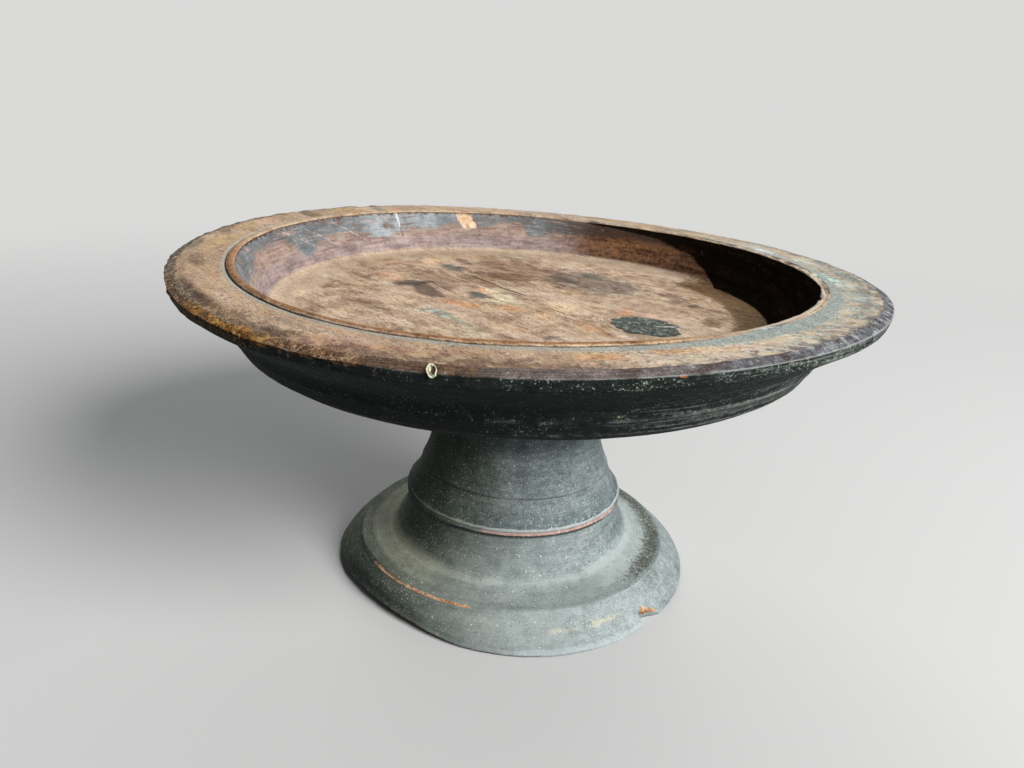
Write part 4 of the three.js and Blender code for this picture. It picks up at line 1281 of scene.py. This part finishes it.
def knot_material():
    """Dark greenish knot, crazed into small cells with pale dust between them."""
    s = Shader("crazed_knot")
    grain = Grain(s)
    grit = s.speckle(0.7)
    crumbs = s.speckle(3.4)
    gaps = s.fade(s.cell_edges(1.7, grit * 0.2), 0.16, 0.03)
    dark = grit * 0.6 + crumbs * 0.5 + grain.streak * 0.3
    tint = s.ramp(dark, (-0.7, 24, 30, 26), (0.0, 50, 58, 52), (0.8, 100, 108, 98))
    tint = s.mix(gaps * s.fade(crumbs + grain.fibre * 0.4, -0.3, 0.7) * 0.8, tint, colour(172, 178, 166))
    smear = Marks(s, 0.0, crumbs * 0.3, grain.fibre * 0.3).spot(*KNOT_SMEAR)
    tint = s.mix(smear * 0.85, tint, colour(206, 210, 202))
    rim = s.fade(grain.knot_distance + crumbs * 2.0, KNOT_RADIUS - 4.5, KNOT_RADIUS - 0.5)
    tint = s.mix(rim * 0.5, tint, colour(84, 76, 64))
    return s.finish(tint, 0.7 + grit * 0.1, grit * 0.08 - gaps * 0.25)


def pin_material():
    """Pale dry end grain, grey-green on its low parts and dark down in its hollow."""
    s = Shader("pale_pin_wood")
    grit = s.speckle(0.45)
    low = s.ramp(grit, (-0.7, 92, 92, 76), (0.1, 140, 138, 114), (0.8, 178, 174, 146))
    pale = s.ramp(grit, (-0.7, 170, 164, 128), (0.1, 214, 211, 182), (0.8, 238, 237, 220))
    tint = s.mix(s.fade(s.mask("pale"), 0.15, 0.6), low, pale)
    tint = s.mix(s.fade(s.mask("hollow"), 0.35, 0.75), tint, colour(36, 33, 28))
    return s.finish(tint, 0.8 + grit * 0.08, grit * 0.08)


def raw_wood_material():
    """Bare dry wood of the wedge and the pegs."""
    s = Shader("raw_wood")
    streak = s.noise(s.x / 2, s.y / 2, s.z / 16, 4.0)
    grit = s.speckle(0.7)
    tint = s.ramp(streak * 0.7 + grit * 0.3, (-0.7, 118, 84, 56), (0.0, 164, 124, 86), (0.8, 198, 162, 120))
    return s.finish(tint, 0.75 + grit * 0.08, streak * 0.1 + grit * 0.04)


# Floor, light and camera

FLOOR_DROP = 0.15
FLOOR_HALF = 6000
FLOOR_PALE = (206, 206, 204)
FLOOR_SHADE = (66, 66, 68)
HORIZON = (218, 218, 217)
FADE_START = 380
FADE_END = 1500
WORLD_TINT = (236, 244, 255)
WORLD_FILL = 0.11
LAMPS = [
    # name, azimuth, elevation, distance, width, power; the first lights the front right, the other the back
    ("key", -41, 30, 3.0, 1.7, 150),
    ("back", 95, 28, 3.0, 2.0, 45),
]


def make_floor():
    """A plain pale floor that fades into the pale background, and is clear when seen from below."""
    half, low = FLOOR_HALF * MM, -FLOOR_DROP * MM
    corners = [(-half, -half, low), (half, -half, low), (half, half, low), (-half, half, low)]
    mesh = bpy.data.meshes.new("floor")
    mesh.from_pydata(corners, [], [(0, 1, 2, 3)])
    floor = bpy.data.objects.new("floor", mesh)
    bpy.context.scene.collection.objects.link(floor)
    s = Shader("pale_floor")
    seen = s.seen_directly()
    tint = s.mix(seen, colour(*FLOOR_SHADE), colour(*FLOOR_PALE))
    paper = s.node("BsdfDiffuse", {"Color": tint})
    glow = s.node("Emission", {"Color": colour(*HORIZON), "Strength": 1.0})
    distance = s.math("SQRT", s.x * s.x + s.y * s.y)
    surface = s.node("MixShader", {0: s.fade(distance, FADE_START, FADE_END) * seen, 1: paper, 2: glow})
    below = s.node("NewGeometry", {}, output="Backfacing")
    clear = s.node("BsdfTransparent", {})
    s.node("OutputMaterial", {"Surface": s.node("MixShader", {0: below, 1: surface, 2: clear})})
    mesh.materials.append(s.material)


def make_world():
    """A soft even fill, and a pale background where it is seen directly."""
    world = bpy.data.worlds.new("studio")
    bpy.context.scene.world = world
    s = Nodes(world)
    fill = s.node("Background", {"Color": colour(*WORLD_TINT), "Strength": WORLD_FILL})
    backdrop = s.node("Background", {"Color": colour(*HORIZON)})
    s.node("OutputWorld", {"Surface": s.node("MixShader", {0: s.seen_directly(), 1: fill, 2: backdrop})})


def make_lamps():
    """Broad soft lamps round the dish."""
    for name, azimuth, elevation, distance, width, power in LAMPS:
        data = bpy.data.lights.new(name, "AREA")
        data.shape = "DISK"
        data.size = width
        data.energy = power
        lamp = bpy.data.objects.new(name, data)
        level, rise = turned(elevation, 1, 0)
        towards = Vector((*turned(azimuth, level, 0), rise))
        lamp.location = CAMERA_TARGET + towards * distance
        lamp.rotation_euler = towards.to_track_quat("Z", "Y").to_euler()
        bpy.context.scene.collection.objects.link(lamp)


CAMERA_TARGET = Vector((-0.0045, 0, 0.1155))
CAMERA_DISTANCE = 0.5005
CAMERA_ELEVATION = 19.79
CAMERA_ROLL = 3.09
CAMERA_LENS = 28.125


def make_camera():
    """The photograph's camera, found by matching the turned rings of the dish and foot to it."""
    data = bpy.data.cameras.new("camera")
    data.sensor_width = 36
    data.lens = CAMERA_LENS
    data.clip_start = 0.02
    camera = bpy.data.objects.new("camera", data)
    elevation = math.radians(CAMERA_ELEVATION)
    roll = math.radians(CAMERA_ROLL)
    back = Vector((0, -math.cos(elevation), math.sin(elevation)))
    level_up = Vector((0, math.sin(elevation), math.cos(elevation)))
    level_right = Vector((1, 0, 0))
    right = level_right * math.cos(roll) + level_up * math.sin(roll)
    up = level_up * math.cos(roll) - level_right * math.sin(roll)
    facing = Matrix((right, up, back)).transposed().to_4x4()
    camera.matrix_world = Matrix.Translation(CAMERA_TARGET + back * CAMERA_DISTANCE) @ facing
    bpy.context.scene.collection.objects.link(camera)
    bpy.context.scene.camera = camera


# Putting the scene together

def dress(piece, node, material):
    """Rides a finished piece on the frame in place of its CAD node and material."""
    piece.data.materials.append(material)
    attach(piece, "root")
    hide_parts(node)


def main():
    bpy.context.scene.view_settings.view_transform = "Standard"
    make_camera()
    make_lamps()
    make_world()
    make_floor()
    pedestal = pedestal_material()
    dress(make_dish(), "dish", dish_material())
    dress(make_stem(), "stem", pedestal)
    dress(make_foot(), "foot", pedestal)
    dress(make_knot(), "floor_knot", knot_material())
    dress(make_pin(), "rim_pin", pin_material())
    raw = raw_wood_material()
    for node in ("tenon_wedge", "boss_peg_left", "boss_peg_right"):
        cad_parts[node].data.materials.clear()
        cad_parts[node].data.materials.append(raw)


main()
